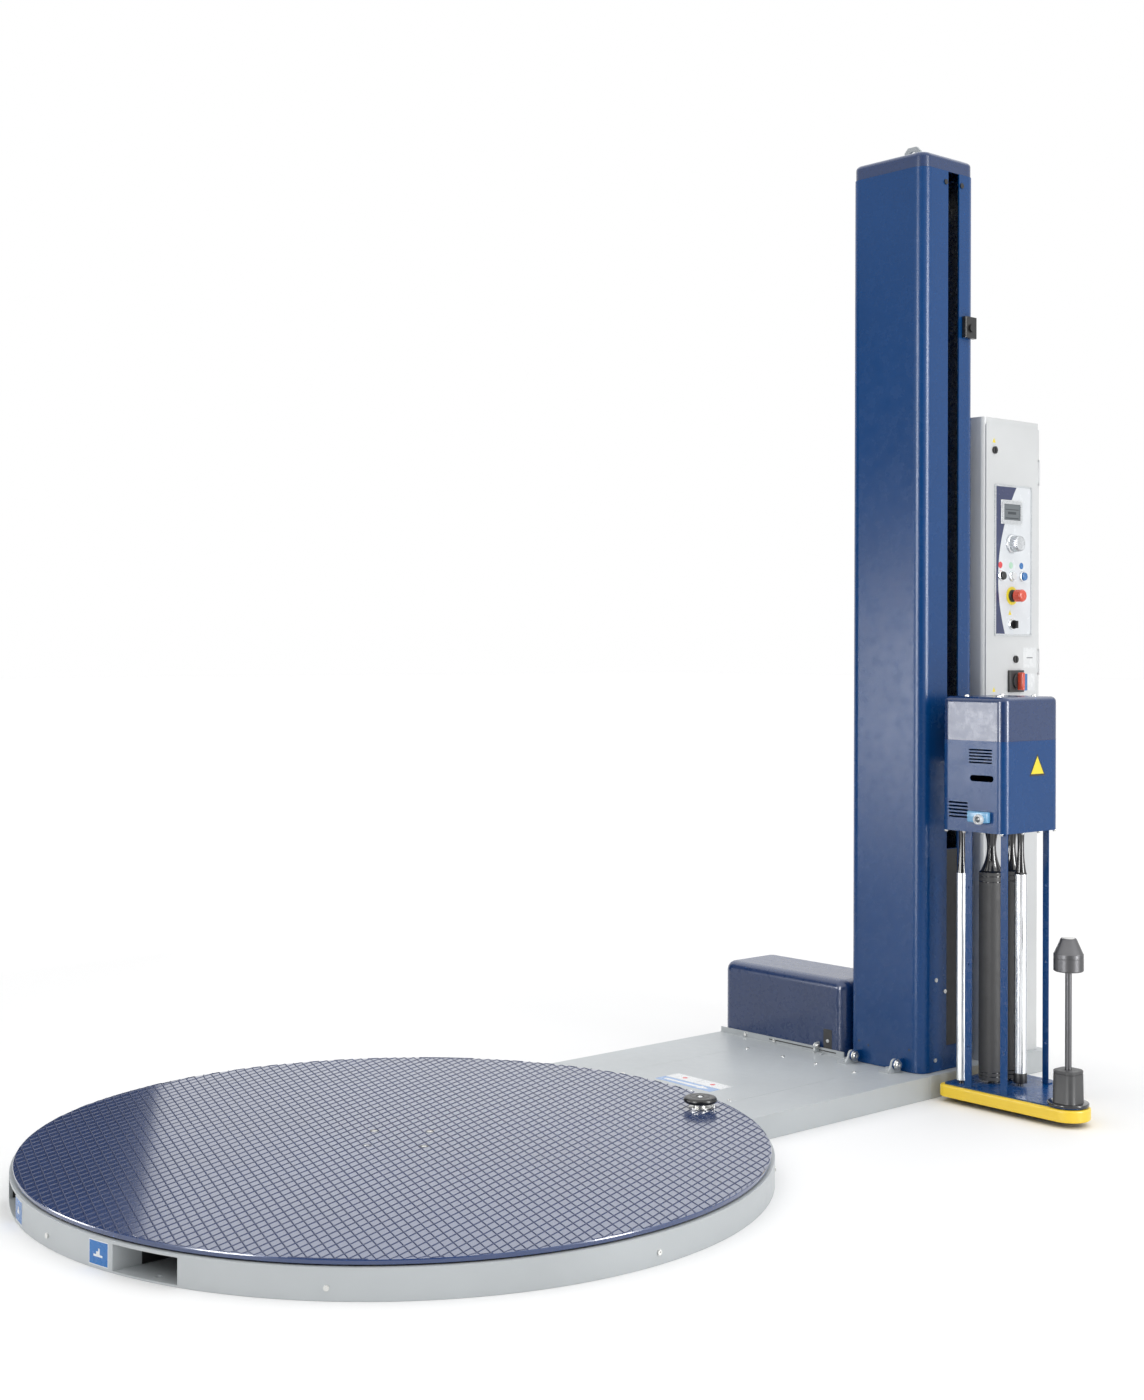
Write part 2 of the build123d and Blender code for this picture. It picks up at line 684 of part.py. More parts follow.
with BuildPart() as lift_belt:
    belt_y = slot_mid_y + (pulley_w - 2) / 2
    belt_plane = Plane(origin=(0, belt_y, 0), x_dir=(1, 0, 0), z_dir=(0, -1, 0))
    pulley_mid_z = (pulley_low_z + pulley_high_z) / 2
    pulley_span = pulley_high_z - pulley_low_z
    with BuildSketch(belt_plane):
        with Locations((pulley_x, pulley_mid_z)):
            SlotCenterToCenter(pulley_span, 2 * (pulley_r + gap + belt_t), rotation=90)
            SlotCenterToCenter(pulley_span, 2 * (pulley_r + gap), rotation=90, mode=Mode.SUBTRACT)
    extrude(amount=pulley_w - 2)
save(lift_belt, "lift_belt")

with BuildPart() as lift_motor:
    motor_face_y = slot_mid_y - pulley_w / 2 - 8
    block(
        (pulley_x - 45, motor_face_y - 50, pulley_low_z - 55),
        (pulley_x + 30, motor_face_y, pulley_low_z + 45),
    )
    rod((pulley_x, motor_face_y, pulley_low_z), (0, -1, 0), 10 + running, 50, mode=Mode.SUBTRACT)
    rod((pulley_x - 52, motor_face_y - 42, pulley_low_z + 45), (0, 0, 1), 34, 170)
save(lift_motor, "lift_motor")

with BuildPart() as limit_switch:
    switch_y = slot_high_y + 36
    upright_block(
        (mast_high[0], switch_y - 24, switch_z - 26),
        (mast_high[0] + 14, switch_y + 24, switch_z + 30),
        3,
    )
    rod((mast_high[0] + 14, switch_y, switch_z), (1, 0, 0), 11, 5)
    for y in (slot_low_y - 11, slot_high_y + 10):
        rod((mast_high[0], y, mast_top - 30), (1, 0, 0), 7, 2.5)
save(limit_switch, "limit_switch")

# ---------------------------------------------------------------- control cabinet on the rear base
ear_depth = 7.0
with BuildPart() as cabinet_box:
    upright_block((*cab_low, rear_top), (*cab_high, cab_top), cab_round)
    upright_block(
        (cab_low[0] + sheet, cab_low[1] + sheet, rear_top + sheet),
        (cab_high[0] - sheet, cab_high[1] - sheet, cab_top - sheet),
        cab_round - sheet,
        mode=Mode.SUBTRACT,
    )
    block(
        (cab_high[0] - 2 * sheet, cab_low[1] + frame_w, door_low_z + frame_w),
        (cab_high[0], cab_high[1] - frame_w, door_high_z - frame_w),
        mode=Mode.SUBTRACT,
    )
    for row in range(5):
        z = 200 + row * 14
        block(
            (cab_low[0] + 80, cab_high[1] - sheet, z),
            (cab_high[0] - 60, cab_high[1], z + 5),
            mode=Mode.SUBTRACT,
        )
    # hinge ears and pins at the far edge of the door
    for z in door_hinge_zs:
        for ear_z in (z - ear_t, z + knuckle_l + gap):
            rod((door_face_x, door_hinge_y, ear_z), (0, 0, 1), knuckle_r, ear_t - gap)
            block(
                (door_face_x - ear_depth, door_hinge_y - 2, ear_z),
                (door_face_x, door_hinge_y + 2, ear_z + ear_t - gap),
            )
        pin_foot = (door_face_x, door_hinge_y, z - ear_t)
        rod(pin_foot, (0, 0, 1), door_pin_r, knuckle_l + 2 * ear_t)
save(cabinet_box, "cabinet_box")

back_x = cab_low[0] + sheet
plate_x = back_x + 4
plate_top = cab_top - 53
with BuildPart() as power_unit:
    block((back_x, cab_low[1] + 25, plate_top - 680), (plate_x, cab_high[1] - 25, plate_top))
    block(
        (plate_x, cab_low[1] + 40, plate_top - 260),
        (plate_x + 130, cab_low[1] + 130, plate_top - 40),
    )
    block(
        (plate_x, cab_low[1] + 145, plate_top - 260),
        (plate_x + 100, cab_high[1] - 40, plate_top - 100),
    )
    # a row of contactors and a row of terminals
    for count, pitch, width, depth, z, height in (
        (8, 20, 17, 70, plate_top - 440, 90),
        (10, 16, 8, 40, plate_top - 610, 60),
    ):
        for place in range(count):
            y = cab_low[1] + 42 + place * pitch
            block((plate_x, y, z), (plate_x + depth, y + width, z + height))
save(power_unit, "power_unit")

# ---------------------------------------------------------------- cabinet door and what it carries
def door_hole(y, z, r):
    """A round hole through the door's sheet."""
    rod((door_face_x - 4, y, z), (1, 0, 0), r, 8, mode=Mode.SUBTRACT)


def fascia_hole(y, z, r):
    """A round hole through the fascia."""
    rod((door_face_x, y, z), (1, 0, 0), r, 8, mode=Mode.SUBTRACT)


with BuildPart() as cabinet_door:
    block(
        (cab_high[0] + gap, cab_low[1] + door_margin, door_low_z),
        (door_face_x, cab_high[1] - door_margin, door_high_z),
    )
    fillet(cabinet_door.edges().filter_by(Axis.X), 6)
    # hinge knuckles at the far edge, with room for the cabinet's ears
    for z in door_hinge_zs:
        for notch_z in (z - ear_t - gap, z + knuckle_l):
            block(
                (cab_high[0], door_hinge_y - 2 * knuckle_r, notch_z),
                (door_face_x, door_hinge_y, notch_z + ear_t + gap),
                mode=Mode.SUBTRACT,
            )
        rod((door_face_x, door_hinge_y, z), (0, 0, 1), knuckle_r, knuckle_l)
        rod((door_face_x, door_hinge_y, z), (0, 0, 1), door_pin_r + running, knuckle_l, mode=Mode.SUBTRACT)
    for y, z in lock_places:
        door_hole(y, z, lock_r - 3 + running)
    for y in button_ys:
        door_hole(y, button_z, button_r - 3 + running)
    door_hole(panel_y, encoder_z, encoder_shaft_r + running)
    door_hole(panel_y, stop_z, stop_stem_r + running)
    door_hole(panel_y, key_z, key_stem_r + running)
    door_hole(isolator_y, isolator_z, isolator_stem_r + running)
save(cabinet_door, "cabinet_door")

window_w = 80.0
window_h = 52.0
with BuildPart() as control_fascia:
    block((door_face_x, *fascia_low), (fascia_x, *fascia_high))
    fillet(control_fascia.edges().filter_by(Axis.X), 8)
    block(
        (door_face_x, display_y - window_w / 2, display_z - window_h / 2),
        (fascia_x, display_y + window_w / 2, display_z + window_h / 2),
        mode=Mode.SUBTRACT,
    )
    for y in button_ys:
        fascia_hole(y, button_z, button_r + gap)
    fascia_hole(panel_y, encoder_z, encoder_shaft_r + 1)
    fascia_hole(panel_y, stop_z, stop_stem_r + gap)
    fascia_hole(panel_y, key_z, key_stem_r + gap)
save(control_fascia, "control_fascia")

with BuildPart() as display:
    block(
        (door_face_x, display_y - window_w / 2 + 0.5, display_z - window_h / 2 + 0.5),
        (fascia_x, display_y + window_w / 2 - 0.5, display_z + window_h / 2 - 0.5),
    )
    block(
        (fascia_x, display_y - window_w / 2 - 8, display_z - window_h / 2 - 7),
        (fascia_x + 4, display_y + window_w / 2 + 8, display_z + window_h / 2 + 7),
    )
    fillet(display.edges().filter_by(Axis.X).group_by(Axis.Z)[-1], 4)
    block(
        (fascia_x + 2, display_y - 32, display_z - 17),
        (fascia_x + 4, display_y + 32, display_z + 19),
        mode=Mode.SUBTRACT,
    )
save(display, "display")

with BuildPart() as control_bezels:
    for y in button_ys:
        rod((fascia_x, y, button_z), (1, 0, 0), bezel_r, 5)
        rod((fascia_x, y, button_z), (1, 0, 0), button_r + gap, 5, mode=Mode.SUBTRACT)
    rod((fascia_x, panel_y, stop_z), (1, 0, 0), stop_r, 3)
    rod((fascia_x, panel_y, stop_z), (1, 0, 0), stop_stem_r + gap, 3, mode=Mode.SUBTRACT)
    rod((fascia_x, panel_y, key_z), (1, 0, 0), 15, 6)
    rod((fascia_x, panel_y, key_z), (1, 0, 0), key_r + gap, 6, mode=Mode.SUBTRACT)
    block(
        (door_face_x, isolator_y - 33, isolator_z - 30),
        (door_face_x + 8, isolator_y + 33, isolator_z + 30),
    )
    rod(
        (door_face_x, isolator_y, isolator_z),
        (1, 0, 0),
        isolator_stem_r + gap,
        8,
        mode=Mode.SUBTRACT,
    )
save(control_bezels, "control_bezels")

with BuildPart() as encoder_knob:
    rod((door_face_x - 2, panel_y, encoder_z), (1, 0, 0), encoder_shaft_r, 10)
    rod((fascia_x + 0.5, panel_y, encoder_z), (1, 0, 0), 26, 8)
    rod((fascia_x + 8.5, panel_y, encoder_z), (1, 0, 0), 23, 22)
    fillet(encoder_knob.faces().sort_by(Axis.X)[-1].edges(), 3)
save(encoder_knob, "encoder_knob")

for name, y in zip(("stop_button", "start_button", "reset_button"), button_ys):
    with BuildPart() as button:
        rod((door_face_x - 2, y, button_z), (1, 0, 0), button_r - 3, 6)
        rod((fascia_x + 4.5, y, button_z), (1, 0, 0), button_r, 7)
        rod((fascia_x + 1, y, button_z), (1, 0, 0), button_r - 3, 4)
        fillet(button.faces().sort_by(Axis.X)[-1].edges(), 2)
    save(button, name)

with BuildPart() as emergency_stop:
    rod((door_face_x - 2, panel_y, stop_z), (1, 0, 0), stop_stem_r, 24)
    rod((fascia_x + 16, panel_y, stop_z), (1, 0, 0), stop_head_r, 24)
    fillet(emergency_stop.faces().sort_by(Axis.X)[-1].edges(), 7)
save(emergency_stop, "emergency_stop")

with BuildPart() as key_switch:
    rod((door_face_x - 2, panel_y, key_z), (1, 0, 0), key_stem_r, 6)
    rod((fascia_x + 0.5, panel_y, key_z), (1, 0, 0), key_r, 9)
    block((fascia_x + 9.5, panel_y - 3, key_z - 10), (fascia_x + 20, panel_y + 3, key_z + 10))
save(key_switch, "key_switch")

for name, (y, z) in zip(("upper_lock", "lower_lock"), lock_places):
    with BuildPart() as lock:
        rod((door_face_x - 2, y, z), (1, 0, 0), lock_r - 3, 4)
        rod((door_face_x + gap, y, z), (1, 0, 0), lock_r, 4)
        block((door_face_x + 2, y - 1.5, z - 7), (door_face_x + 5, y + 1.5, z + 7), mode=Mode.SUBTRACT)
    save(lock, name)

with BuildPart() as isolator_handle:
    rod((door_face_x - 2, isolator_y, isolator_z), (1, 0, 0), isolator_stem_r, 12)
    rod((door_face_x + 8 + gap, isolator_y, isolator_z), (1, 0, 0), 21, 6)
    block(
        (door_face_x + 14, isolator_y - 6, isolator_z - 24),
        (door_face_x + 30, isolator_y + 6, isolator_z + 24),
    )
    fillet(isolator_handle.faces().sort_by(Axis.X)[-1].edges(), 2)
save(isolator_handle, "isolator_handle")

# ---------------------------------------------------------------- carriage deck and its bumper
with BuildPart() as carriage_deck:
    extrude(deck_outline(bumper_w + gap).moved(Location((0, 0, deck_under))), amount=deck_t)
    for x in (deck_left_x + 40, deck_right_x - 20):
        block((x, deck_front_y + 30, deck_foot_z + 12), (x + 6, deck_back_y - 30, deck_under))
    for x, y, r in rollers:
        rod((x, y, deck_under), (0, 0, 1), spindle_r + running, deck_t, mode=Mode.SUBTRACT)
    # flange under the film core
    rod((spool_x, spool_y, deck_top), (0, 0, 1), core_flange_r, core_flange_t)
    fillet(carriage_deck.faces().sort_by(Axis.Z)[-1].edges(), 2)
    core_hole_l = deck_t + core_flange_t
    rod((spool_x, spool_y, deck_under), (0, 0, 1), core_rod_r + running, core_hole_l, mode=Mode.SUBTRACT)
save(carriage_deck, "carriage_deck")

with BuildPart() as bumper:
    extrude(deck_outline(0).moved(Location((0, 0, deck_foot_z))), amount=bumper_top - deck_foot_z)
    fillet(bumper.faces().sort_by(Axis.Z)[-1].edges(), 5)
    fillet(bumper.faces().sort_by(Axis.Z)[0].edges(), 4)
    extrude(
        deck_outline(bumper_w).moved(Location((0, 0, deck_foot_z))),
        amount=bumper_top - deck_foot_z,
        mode=Mode.SUBTRACT,
    )
save(bumper, "bumper")

# ---------------------------------------------------------------- carriage posts, body and hood
posts = (
    (box_low[0] + 69, box_low[1] + 12, 20.0, 18.0),
    (box_high[0] - 21, box_low[1] + 13, 20.0, 20.0),
    (box_high[0] - 23, box_high[1] - 40, 17.0, 20.0),
    (box_low[0] + 3, box_high[1] - 32, 17.0, 20.0),
)
post_h = box_foot_z - deck_top
with BuildPart() as carriage_posts:
    for x, y, width, depth in posts:
        block((x, y, deck_top), (x + width, y + depth, box_foot_z))
        block(
            (x + post_t, y + post_t, deck_top + post_t),
            (x + width, y + depth, box_foot_z),
            mode=Mode.SUBTRACT,
        )
        for share in (0.16, 0.48, 0.78):
            hole = (x + width / 2 + 1, y - 1, deck_top + share * post_h)
            rod(hole, (0, 1, 0), 3, 2 * post_t, mode=Mode.SUBTRACT)
save(carriage_posts, "carriage_posts")

vent_x = box_low[0] + 89
with BuildPart() as carriage_body:
    upright_block((*box_low, box_foot_z), (*box_high, box_seam_z), box_round)
    upright_block(
        (box_low[0] + box_wall, box_low[1] + box_wall, box_foot_z + box_wall),
        (box_high[0] - box_wall, box_high[1] - box_wall, box_seam_z),
        box_round - box_wall,
        mode=Mode.SUBTRACT,
    )
    for low_x, high_x, low_z, pitch in (
        (vent_x, vent_x + 70, box_seam_z - 58, 8),
        (box_low[0] + 26, box_low[0] + 85, box_foot_z + 34, 9),
    ):
        for row in range(5):
            z = low_z + row * pitch
            block((low_x, face_y, z), (high_x, face_y + box_wall, z + pitch / 2), mode=Mode.SUBTRACT)
    # finger hole with round ends under the upper vent
    hole_z = box_seam_z - 96
    block(
        (vent_x + 11, face_y, hole_z - 8),
        (vent_x + 67, face_y + box_wall, hole_z + 8),
        mode=Mode.SUBTRACT,
    )
    for x in (vent_x + 11, vent_x + 67):
        rod((x, face_y, hole_z), (0, 1, 0), 8, box_wall, mode=Mode.SUBTRACT)
    for x, y, r in rollers:
        rod((x, y, box_foot_z), (0, 0, 1), spindle_r + running, box_wall, mode=Mode.SUBTRACT)
save(carriage_body, "carriage_body")

with BuildPart() as carriage_hood:
    upright_block((*box_low, box_seam_z), (*box_high, box_top), box_round)
    fillet(carriage_hood.faces().sort_by(Axis.Z)[-1].edges(), 14)
    offset(amount=-box_wall, openings=carriage_hood.faces().sort_by(Axis.Z)[0])
save(carriage_hood, "carriage_hood")

# ---------------------------------------------------------------- trolley on the mast
trolley_foot = box_foot_z + 10
trolley_top = box_foot_z + 170
trolley_x = pulley_x + pulley_r + gap + belt_t + 2
arm_gap = 5.0
with BuildPart() as trolley:
    block(
        (trolley_x, mast_low[1] + 44, trolley_foot),
        (mast_high[0] - mast_wall - 4, mast_high[1] - 44, trolley_top),
    )
    block(
        (mast_high[0] - 2 * mast_wall, slot_low_y + arm_gap, trolley_foot),
        (box_low[0], slot_high_y - arm_gap, trolley_top),
    )
    block((box_low[0] - 8, slot_low_y - 70, trolley_foot), (box_low[0], slot_high_y + 70, trolley_top))
save(trolley, "trolley")

lens_x = vent_x + 43
lens_z = box_foot_z + 35
with BuildPart() as photocell:
    block((lens_x - 40, face_y - 14, lens_z - 9), (lens_x + 24, face_y, lens_z + 19))
    fillet(photocell.edges().filter_by(Axis.Y), 4)
    rod((lens_x, face_y - 26, lens_z), (0, 1, 0), 13, 12)
    rod((lens_x, face_y - 27, lens_z), (0, 1, 0), 9, 4, mode=Mode.SUBTRACT)
save(photocell, "photocell")

# ---------------------------------------------------------------- rollers, their gears and motor
gear_a_r = nip * gear_ratio / (1 + gear_ratio)
gear_b_r = nip / (1 + gear_ratio)
gear_w = 14.0
gear_z = box_foot_z + 16
neck_top = box_foot_z - 4
drum_top = drum_foot_z + film_w


def roller(x, y, r, neck_r, waist_r):
    """A drum with a waisted neck, on a spindle held by the deck and the body."""
    with BuildSketch(Plane(origin=(x, y, 0), x_dir=(1, 0, 0), z_dir=(0, -1, 0))) as half:
        with BuildLine():
            Polyline(
                (0, deck_under),
                (spindle_r, deck_under),
                (spindle_r, drum_foot_z),
                (r, drum_foot_z),
                (r, drum_top),
                (neck_r, drum_top + 4),
            )
            ThreePointArc(
                (neck_r, drum_top + 4),
                (waist_r, (drum_top + neck_top) / 2),
                (neck_r * 0.7, neck_top),
            )
            Polyline(
                (neck_r * 0.7, neck_top),
                (spindle_r, neck_top),
                (spindle_r, gear_z),
                (0, gear_z),
                (0, deck_under),
            )
        make_face()
    revolve(half.sketch, axis=Axis((x, y, 0), (0, 0, 1)))


def stretch_gear(x, y, r, teeth):
    """A gear cut just inside its pitch circle."""
    rod((x, y, gear_z), (0, 0, 1), r - gap / 2, gear_w)
    tooth_gaps(x, y, gear_z, r, teeth, 1.6, gear_w)


with BuildPart() as guide_roller_front:
    roller(*guide_front, 12.0, 8.0)
save(guide_roller_front, "guide_roller_front")

with BuildPart() as guide_roller_rear:
    roller(*guide_rear, 14.0, 8.5)
save(guide_roller_rear, "guide_roller_rear")

with BuildPart() as stretch_roller_a:
    roller(*stretch_a, stretch_r - 4.5, 12.0)
    stretch_gear(stretch_a[0], stretch_a[1], gear_a_r, 36)
save(stretch_roller_a, "stretch_roller_a")

with BuildPart() as stretch_roller_b:
    roller(*stretch_b, stretch_r - 4.5, 12.0)
    stretch_gear(stretch_b[0], stretch_b[1], gear_b_r, 24)
save(stretch_roller_b, "stretch_roller_b")

shelf_z = box_foot_z + 50
shelf_low = (stretch_a[0] - 39.5, stretch_a[1] - 43.5)
shelf_high = (shelf_low[0] + 140, shelf_low[1] + 150)
with BuildPart() as carriage_motor:
    rod((shelf_low[0] + 80, shelf_low[1] + 90, shelf_z + 8), (0, 0, 1), 42, 150)
    block((*shelf_low, shelf_z), (*shelf_high, shelf_z + 8))
    for x in (shelf_low[0] + 8, shelf_high[0] - 8):
        for y in (shelf_low[1] + 8, shelf_high[1] - 8):
            rod((x, y, box_foot_z + box_wall), (0, 0, 1), 5, 50 - box_wall)
save(carriage_motor, "carriage_motor")

# ---------------------------------------------------------------- film core holder
with BuildPart() as core_spindle:
    rod((spool_x, spool_y, deck_under), (0, 0, 1), core_rod_r, core_cone_foot_z + 10 - deck_under)
    upright_block(
        (spool_x - core_block_w / 2, spool_y - core_block_w / 2, deck_top + core_flange_t + gap),
        (spool_x + core_block_w / 2, spool_y + core_block_w / 2, core_block_top),
        20,
    )
    rod((spool_x, spool_y, core_cone_foot_z), (0, 0, 1), core_cone_r, core_cone_step_z - core_cone_foot_z)
    with BuildSketch(Plane(origin=(spool_x, spool_y, core_cone_step_z))) as cone_foot:
        Circle(core_cone_r)
    with BuildSketch(Plane(origin=(spool_x, spool_y, core_cone_top_z))) as cone_top:
        Circle(core_tip_r)
    loft([cone_foot.sketch.face(), cone_top.sketch.face()])
save(core_spindle, "core_spindle")
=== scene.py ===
import json
from math import ceil, cos, pi, radians, sin, sqrt

import bmesh
import bpy
from mathutils import Matrix, Vector


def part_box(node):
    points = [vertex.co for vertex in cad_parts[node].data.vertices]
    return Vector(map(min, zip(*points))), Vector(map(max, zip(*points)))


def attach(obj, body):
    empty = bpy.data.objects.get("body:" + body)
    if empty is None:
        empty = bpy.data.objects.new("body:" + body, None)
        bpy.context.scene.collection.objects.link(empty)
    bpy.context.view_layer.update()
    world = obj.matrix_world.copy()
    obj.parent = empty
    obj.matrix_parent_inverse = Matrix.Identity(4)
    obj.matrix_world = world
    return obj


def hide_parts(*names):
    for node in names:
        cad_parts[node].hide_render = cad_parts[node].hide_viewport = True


# The looks of a turntable pallet wrapper, in metres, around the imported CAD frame.

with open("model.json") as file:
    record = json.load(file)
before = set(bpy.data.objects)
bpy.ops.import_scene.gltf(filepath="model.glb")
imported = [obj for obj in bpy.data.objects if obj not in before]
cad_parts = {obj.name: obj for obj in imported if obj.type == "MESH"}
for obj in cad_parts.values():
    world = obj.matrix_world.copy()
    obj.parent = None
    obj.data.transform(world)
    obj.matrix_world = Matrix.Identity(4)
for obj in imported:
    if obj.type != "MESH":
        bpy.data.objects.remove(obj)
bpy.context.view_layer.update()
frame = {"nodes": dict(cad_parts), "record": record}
nodes = frame["nodes"]
scene = bpy.context.scene
MM = 0.001
X_AXIS, Y_AXIS, Z_AXIS = Vector((1, 0, 0)), Vector((0, 1, 0)), Vector((0, 0, 1))
CORNER_STEPS = 8
LABEL_H = 0.25 * MM
FILM_H = 0.2 * MM
PRINT_H = 0.35 * MM


# ---------------------------------------------------------------- materials
class Material:
    """A node-based material with short ways to add noise, colour and bump."""

    def __init__(self, name, color, rough, metal=0.0, coat=0.0, coat_rough=0.05):
        self.name = name
        self.data = bpy.data.materials.new(name)
        self.data.use_nodes = True
        self.tree = self.data.node_tree
        self.shader = self.tree.nodes["Principled BSDF"]
        self.shader.inputs["Base Color"].default_value = (*color, 1)
        self.shader.inputs["Roughness"].default_value = rough
        self.shader.inputs["Metallic"].default_value = metal
        self.shader.inputs["Coat Weight"].default_value = coat
        self.shader.inputs["Coat Roughness"].default_value = coat_rough
        self.color = color
        self.coords = self.tree.nodes.new("ShaderNodeTexCoord").outputs["Object"]
        self.normal = None

    def link(self, source, target):
        self.tree.links.new(source, target)

    def noise(self, scale, detail=3.0, roughness=0.55, stretch=(1, 1, 1)):
        """Fractal noise over the object's own coordinates."""
        mapping = self.tree.nodes.new("ShaderNodeMapping")
        mapping.inputs["Scale"].default_value = stretch
        self.link(self.coords, mapping.inputs["Vector"])
        made = self.tree.nodes.new("ShaderNodeTexNoise")
        made.inputs["Scale"].default_value = scale
        made.inputs["Detail"].default_value = detail
        made.inputs["Roughness"].default_value = roughness
        self.link(mapping.outputs["Vector"], made.inputs["Vector"])
        return made.outputs["Fac"]

    def ramp(self, value, low, high, start=0.3, end=0.7):
        """Maps a value onto two greys or two colours."""
        made = self.tree.nodes.new("ShaderNodeValToRGB")
        for element, place, tone in zip(made.color_ramp.elements, (start, end), (low, high)):
            element.position = place
            element.color = (*tone, 1) if hasattr(tone, "__len__") else (tone, tone, tone, 1)
        self.link(value, made.inputs["Fac"])
        return made.outputs["Color"]

    def vary_color(self, value, darker, lighter):
        """The base colour wanders between two shades of itself."""
        low = [c * darker for c in self.color]
        high = [c * lighter for c in self.color]
        self.link(self.ramp(value, low, high), self.shader.inputs["Base Color"])

    def vary_rough(self, value, low, high):
        self.link(self.ramp(value, low, high), self.shader.inputs["Roughness"])

    def bump(self, value, strength, distance):
        made = self.tree.nodes.new("ShaderNodeBump")
        made.inputs["Strength"].default_value = strength
        made.inputs["Distance"].default_value = distance
        self.link(value, made.inputs["Height"])
        if self.normal is not None:
            self.link(self.normal, made.inputs["Normal"])
        self.normal = made.outputs["Normal"]
        self.link(self.normal, self.shader.inputs["Normal"])


def powder_coat(name, color, rough, grain, depth, coat=0.0, specular=0.5):
    """Baked powder paint: a pebbled skin with slow changes of shade."""
    made = Material(name, color, rough, coat=coat, coat_rough=0.12)
    made.vary_color(made.noise(2.2, 4.0), 0.93, 1.06)
    made.vary_rough(made.noise(35.0, 4.0), rough * 0.88, rough * 1.15)
    made.bump(made.noise(grain, 2.0, 0.5), depth, 0.6 * MM)
    made.shader.inputs["Specular IOR Level"].default_value = specular
    return made


def moulded(name, color, rough, coat=0.0, depth=0.05):
    """Injection-moulded plastic, or a printed film."""
    made = Material(name, color, rough, coat=coat, coat_rough=0.08)
    made.vary_color(made.noise(9.0, 3.0), 0.95, 1.04)
    made.vary_rough(made.noise(60.0, 3.0), rough * 0.85, rough * 1.2)
    made.bump(made.noise(1500.0, 2.0), depth, 0.3 * MM)
    return made


def metal(name, color, rough, stretch=(1, 1, 1), depth=0.08):
    """Worked metal, with fine marks along one axis."""
    made = Material(name, color, rough, metal=1.0)
    made.vary_color(made.noise(14.0, 4.0), 0.9, 1.06)
    made.vary_rough(made.noise(420.0, 3.0, stretch=stretch), rough * 0.7, rough * 1.35)
    made.bump(made.noise(900.0, 2.0, stretch=stretch), depth, 0.2 * MM)
    return made


finishes = {
    made.name: made
    for made in (
        powder_coat("blue_paint", (0.001, 0.053, 0.198), 0.26, 420.0, 0.35, specular=0.34),
        powder_coat("grey_paint", (0.50, 0.53, 0.545), 0.38, 900.0, 0.10),
        powder_coat("cabinet_paint", (0.66, 0.675, 0.68), 0.36, 900.0, 0.10),
        powder_coat("table_paint", (0.020, 0.050, 0.165), 0.2, 500.0, 0.1, coat=1.0),
        moulded("blue_plastic", (0.004, 0.030, 0.120), 0.28, coat=0.3, depth=0.02),
        moulded("yellow_edge", (0.95, 0.66, 0.04), 0.34, depth=0.1),
        moulded("black_plastic", (0.010, 0.010, 0.011), 0.30, depth=0.12),
        moulded("drum_rubber", (0.050, 0.050, 0.051), 0.55, depth=0.5),
        metal("chrome_steel", (0.80, 0.82, 0.84), 0.22, stretch=(1, 1, 0.04), depth=0.01),
        metal("zinc_steel", (0.70, 0.70, 0.68), 0.30),
        metal("dark_steel", (0.13, 0.13, 0.135), 0.34, stretch=(1, 1, 6)),
        moulded("polyurethane", (0.42, 0.24, 0.07), 0.5),
        moulded("red_plastic", (0.74, 0.075, 0.03), 0.25, coat=0.4),
        moulded("white_plastic", (0.70, 0.72, 0.73), 0.28, coat=0.3),
        moulded("panel_film", (0.74, 0.77, 0.80), 0.24, coat=0.3, depth=0.03),
        moulded("reset_blue", (0.03, 0.17, 0.45), 0.25, coat=0.3),
        metal("knob_grey", (0.60, 0.62, 0.64), 0.28, stretch=(0.1, 1, 1)),
        moulded("component_grey", (0.20, 0.205, 0.21), 0.5, depth=0.2),
        moulded("cell_blue", (0.16, 0.42, 0.68), 0.28, coat=0.3),
        powder_coat("tread_rib", (0.012, 0.028, 0.100), 0.30, 500.0, 0.15),
        metal("satin_steel", (0.74, 0.76, 0.76), 0.36, stretch=(1, 1, 0.04), depth=0.01),
        moulded("black_trim", (0.013, 0.013, 0.014), 0.42, depth=0.2),
        moulded("neck_black", (0.016, 0.016, 0.017), 0.14, coat=0.5),
        metal("cone_grey", (0.11, 0.11, 0.115), 0.36, stretch=(1, 1, 5), depth=0.2),
        moulded("block_grey", (0.055, 0.056, 0.058), 0.42, depth=0.25),
        moulded("navy_film", (0.016, 0.028, 0.105), 0.24, coat=0.3, depth=0.03),
        moulded("white_film", (0.80, 0.82, 0.83), 0.26, coat=0.3, depth=0.03),
        moulded("blue_film", (0.0, 0.15, 0.47), 0.26, coat=0.3, depth=0.03),
        moulded("pale_blue_film", (0.20, 0.36, 0.66), 0.28, coat=0.3, depth=0.03),
        moulded("green_film", (0.45, 0.68, 0.52), 0.28, depth=0.03),
        moulded("red_film", (0.75, 0.06, 0.07), 0.28, depth=0.03),
        moulded("yellow_film", (0.90, 0.72, 0.03), 0.30, depth=0.03),
        moulded("screen", (0.10, 0.12, 0.135), 0.10, coat=0.8, depth=0.01),
        moulded("screen_ink", (0.035, 0.045, 0.055), 0.2, depth=0.01),
    )
}

for part in frame["record"]["subparts"]:
    node = nodes[part["node"]]
    node.data.materials.clear()
    node.data.materials.append(finishes[part["material_slot"]].data)


# ---------------------------------------------------------------- places and outlines
def box(name):
    """The low and high corner of a CAD node's box."""
    return [Vector(corner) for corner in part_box(name)]


def centre(low, high):
    return (Vector(low) + Vector(high)) / 2


def mm(*points):
    """Points given in millimetres."""
    return [(u * MM, v * MM) for u, v in points]


